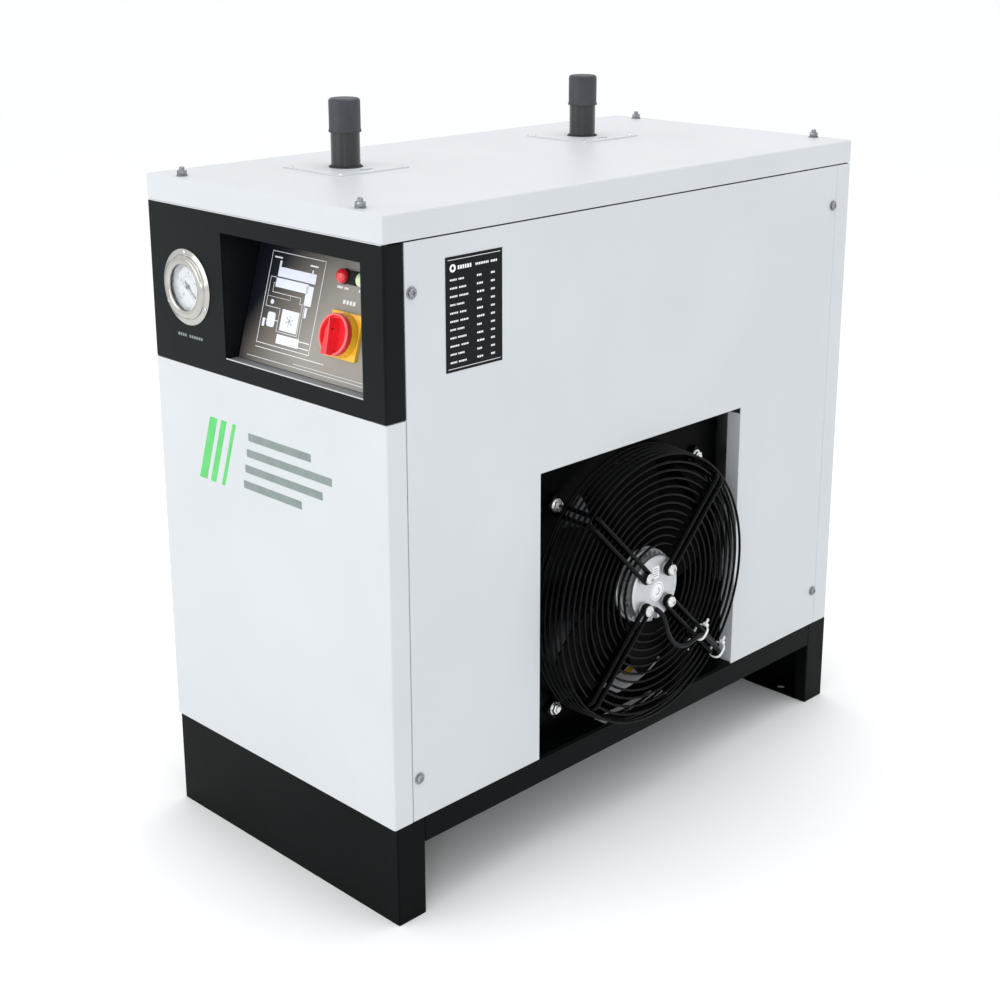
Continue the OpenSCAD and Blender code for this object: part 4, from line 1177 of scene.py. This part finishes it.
lid_heads = heads_over("lid_bolts", lid_bolt_height, 25, lid_bolt_head, upright=True)
added("lid_bolt_heads", lid_heads, in_metres, screw_steel_painted_dark_reflection, stands_for=("lid_bolts",))
plate_head_height = 1.6
plate_heads = heads_over("port_plate_screws", plate_head_height, 40,
                         lambda: pan_head(2.8, plate_head_height), upright=True)
added("port_plate_screw_heads", plate_heads, in_metres, stainless,
      stands_for=("port_plate_screws",))

# %% [markdown]
# ## Pipes on the lid
# Each pipe stands in a rubber grommet and wears a moulded cap. The cap has a lip at its mouth and a
# rounded crown. An arrow on each plate shows which way the air goes.

# %% Caps, grommets and arrows
for pipe in ("inlet", "outlet"):
    low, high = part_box(pipe + "_cap")
    middle = (low + high) / 2
    lip = [(16.7, 0), (18.5, 0), (18.7, 0.4), (18.7, 2.4), (18.3, 3.0), (18.0, 3.4)]
    crown = quarter_round(3.6, 34.4, 3.6, 6, core=14.4)
    cap = turned(lip + crown + [(13.2, 37.6), (0, 37.6), (0, 34.3), (16.7, 34.3), (16.7, 0)], fine_steps)
    place = Matrix.Translation((middle.x, middle.y, low.z)) @ in_mm
    added(pipe + "_cap_moulding", cap, place, cap_plastic,
          body=pipe + "_cap", stands_for=(pipe + "_cap",), sharp=40)
rings = []
arrows = []
grommet_boxes = sorted(solids_of("pipe_grommets"), key=lambda box: box[0].y)
for (low, high), outgoing in zip(grommet_boxes, (False, True)):
    middle = (low + high) / 2
    grommet = turned([(16.9, -3.0), (19.0, -3.0), (19.0, 0.0), (19.5, 0.2), (19.5, 1.8), (18.4, 3.1),
                      (17.2, 3.25), (16.9, 2.6)], fine_steps, closed=True)
    top = Matrix.Translation((middle.x, middle.y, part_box("lid")[1].z)) @ in_mm
    rings.append(moved(grommet, top))
    arrow = prism([(-2.2, -9), (2.2, -9), (2.2, 2), (6, 2), (0, 10), (-6, 2), (-2.2, 2)], 1.5, 1.62)
    turn = 0 if outgoing else math.pi
    arrows.append(moved(arrow, top @ Matrix.Translation((35, 0, 0)) @ Matrix.Rotation(turn, 4, "Z")))
added("pipe_grommet_rings", joined(rings), in_metres, black_rubber,
      stands_for=("pipe_grommets",), sharp=50)
added("port_arrows", joined(arrows), in_metres, grey_ink)

# %% [markdown]
# ## The fan
# The motor is a casting with two fin rings and four bosses, and two pale labels with plain marks on its
# face. It is turned from one outline, which keeps its rings true. The guard stays the model's own,
# because its wires are round already. Heights are measured out from the cabinet's middle.

# %% Motor casting
bolt_half = 20.75         # the four bolts stand at the corners of a square, this far from its middle
motor_face = 218.2
casting = turned([
    (0, 128), (6, 128), (6, 190.5), (20, 190.5), (20, 193), (45.5, 193), (46.5, 194), (46.5, 196),
    (45.5, 197), (41, 197.4), (41, 199.8), (45.2, 200.2), (46, 201), (46, 202.2), (45.2, 203), (37, 203.4),
    (37, 207.6), (40, 208.2), (41, 209.4), (41, 216.4), (39.4, motor_face), (0, motor_face),
], fine_steps)
bosses = []
for sx in (-1, 1):
    for sy in (-1, 1):
        boss = turned([(0, 216), (9.2, 216), (8.4, 218.9), (0, 218.9)], 40)
        bosses.append(moved(boss, Matrix.Translation((sx * bolt_half, sy * bolt_half, 0))))
fins = [moved(block((37, -0.9, 203.2), (44.2, 0.9, 207.8)), Matrix.Rotation(math.radians(12 * k), 4, "Z"))
        for k in range(30)]
lead_slot = block((-4.6, -44, 212), (4.6, -25, 222))
casting = cut_out(casting, lead_slot)
added("motor_casting", joined([casting] + bosses + fins), at_fan, cast_alu,
      stands_for=("fan_motor",), sharp=40)

# %% Labels on the motor
label_face, label_ink = 218.34, 218.4
off_centre = Matrix.Translation((3, -4, 0))
round_label = turned([(0, motor_face), (12, motor_face), (12, label_face), (0, label_face)], 64)
small_label = block((-6, 13, motor_face), (6, 28.5, label_face), corner=1)
motor_labels = joined([moved(round_label, off_centre), small_label])
added("motor_labels", motor_labels, at_fan, foil_white)
label_marks = [moved(ring_band(9.6, 10.2, label_face, label_ink, 0, 360, 48), off_centre),
               moved(ring_band(3.2, 4.6, label_face, label_ink, 20, 200, 24), off_centre)]
for k in range(4):
    label_marks.append(block((-4.4, 16 + 3 * k, label_face), (3.8 - k % 2, 16.9 + 3 * k, label_ink)))
added("motor_label_print", joined(label_marks), at_fan, grey_ink)


# %% Bolts of the motor and the guard
def button_head(radius, height):
    """A domed head with a hexagon socket."""
    head = turned([(0, 0), (radius, 0)] + quarter_round(radius, 1, height - 1, 9), 48)
    return cut_out(head, hexagon(radius * 0.38, height * 0.5, height + 1, 0))


hub_head_height = 4.6
hub_heads = heads_over("fan_hub_bolts", hub_head_height, 17, lambda: button_head(7.0, hub_head_height))
added("hub_bolt_heads", hub_heads, in_metres, stainless, stands_for=("fan_hub_bolts",))
washer_outline = [(3, -1.1), (7.4, -1.1), (7.4, 0), (3, 0)]
hub_washers = heads_over("fan_hub_bolts", hub_head_height, 0,
                         lambda: turned(washer_outline, 48, closed=True))
added("hub_bolt_washers", hub_washers, in_metres, black_plastic)
foot_nut_height = 6.9


def foot_nut():
    """A washer, a hexagon nut and the end of its bolt."""
    washer = turned([(0, 0), (8.4, 0), (8.4, 1.4), (0, 1.4)], 48, soft=0.25)
    bolt_end = turned([(0, 5.5), (3.6, 5.5), (3.4, foot_nut_height), (0, foot_nut_height)], 32)
    return joined([washer, hexagon(7.1, 1.4, 5.6, 0.5), bolt_end])


foot_nuts = heads_over("fan_guard_bolts", foot_nut_height, 14, foot_nut)
added("guard_foot_nuts", foot_nuts, in_metres, stainless, stands_for=("fan_guard_bolts",))

# %% [markdown]
# A blade is a cambered sheet that spans a wider angle, and stands steeper, at the hub than at its tip. A
# grid of points follows those rules, and the sheet is then thickened. Five blades go round the hub.

# %% Rotor with cambered blades
rotor_hub = turned([
    (6.4, 132), (44, 132), (46, 134), (46, 187), (45, 188), (42, 188), (42, 150), (14, 150), (14, 187.5),
    (6.4, 187.5),
], fine_steps, closed=True)
hub_radius, blade_reach = 45, 102
blade_middle, camber, sweep = 157, 5, math.radians(14)
blade_cells = 14
blade_count = 5


def blade(start):
    """A cambered sheet from the hub to the tip, its leading corner swept forward."""
    shape = bmesh.new()
    rows = []
    for i in range(blade_cells + 1):
        out = i / blade_cells
        radius = hub_radius + blade_reach * out
        half_turn = math.radians(31 - 6 * out)
        rise = 19 - 6 * out
        row = []
        for j in range(blade_cells + 1):
            s = -1 + 2 * j / blade_cells
            a = start + sweep * out ** 2 + s * half_turn * (1 - 0.10 * out * s)
            z = blade_middle - s * rise + camber * (1 - s * s)
            row.append(shape.verts.new((radius * math.cos(a), radius * math.sin(a), z)))
        rows.append(row)
    for one, other in zip(rows, rows[1:]):
        for j in range(blade_cells):
            shape.faces.new((one[j], one[j + 1], other[j + 1], other[j]))
    bmesh.ops.recalc_face_normals(shape, faces=shape.faces)
    bmesh.ops.solidify(shape, geom=shape.faces[:], thickness=1.8)
    return shape


blades = [blade(math.radians(360 / blade_count * k + 82)) for k in range(blade_count)]
added("rotor_with_blades", joined([rotor_hub] + blades), at_fan, fan_coat,
      body="fan_rotor", stands_for=("fan_rotor",), sharp=45)

# %% [markdown]
# ## The motor's lead
# The lead leaves the motor's face, bends out over the guard, follows one double strut to the ring and
# dips behind it. It is a tube along points, bound to the strut by two white cable ties.

# %% Motor lead
lead_route = [
    (0, -26, 219.2), (1, -28, 226), (4, -38, 230), (10, -56, 230), (20, -72, 230), (33, -82, 231),
    (48, -84, 232), (62, -80, 232), (76, -78, 231), (95, -95, 230.5), (113, -113, 230.5), (119, -119, 229),
    (124, -124, 222), (128, -128, 205), (134, -134, 190), (138, -138, 176), (138, -138, 168.3),
]
added("motor_lead", tube(lead_route, 3.1, 6), at_fan, cable_skin, stands_for=("fan_lead",))


# %% Cable ties
strut_turn = Matrix.Rotation(math.radians(-45), 4, "Z")
tie_height = 227.4
band_across, band_out, squareness = 9.6, 8.2, 0.75


def cable_tie(reach):
    """A band drawn round a strut's two wires and the lead, with its head and tail on the upper side."""
    band = turned([(1.0, -1.7), (1.11, -1.7), (1.11, 1.7), (1.0, 1.7)], 64, closed=True)
    for vertex in band.verts:
        around = math.atan2(vertex.co.y, vertex.co.x)
        size = math.hypot(vertex.co.x, vertex.co.y)
        across, out = math.cos(around), math.sin(around)
        vertex.co.x = size * band_across * math.copysign(abs(across) ** squareness, across)
        vertex.co.y = size * band_out * math.copysign(abs(out) ** squareness, out)
    head = block((9.4, -1.0, -2.9), (13.6, 4.6, 2.9), corner=0.8, soft=0.5)
    tail = block((12.8, 0.6, -1.7), (19.6, 1.8, 1.7), corner=0.4, soft=0.2)
    stand = Matrix(((0, 0, 1, 0), (1, 0, 0, 0), (0, 1, 0, 0), (0, 0, 0, 1)))
    tie = moved(joined([band, head, tail]), Matrix.Translation((reach, 0, tie_height)) @ stand)
    return moved(tie, strut_turn)


added("cable_tie_loops", joined([cable_tie(111), cable_tie(160.5)]), at_fan, tie_nylon,
      stands_for=("cable_ties",))

# %% [markdown]
# A pale band with a yellow patch lies low on the inside of the fan's ring: a painted reflection of the
# bright surroundings in the glossy ring. It is a thin band with the ring's own curve, and the patch is a
# second one that stands a little prouder.

# %% Painted reflection on the inside of the fan's ring
ring_inside = 151.6


def ring_foil(start, end, low, high, thickness=0.3):
    return ring_band(ring_inside - thickness, ring_inside, low, high, start, end, 24)


# Both bands are painted reflection on the ring's inside.
added("shroud_painted_reflection", ring_foil(150, 183, 138, 167), at_fan, foil_white)
added("shroud_painted_reflection_patch", ring_foil(153, 168, 140, 148, 0.4), at_fan, yellow_plastic)

# %% [markdown]
# ## Floor
# The floor is not part of the dryer.

# %% Floor
floor_shape = bmesh.new()
bmesh.ops.create_grid(floor_shape, x_segments=1, y_segments=1, size=40)
floor = object_from("pale_floor", floor_shape)
floor.data.materials.append(floor_coat)
print("floor ready")
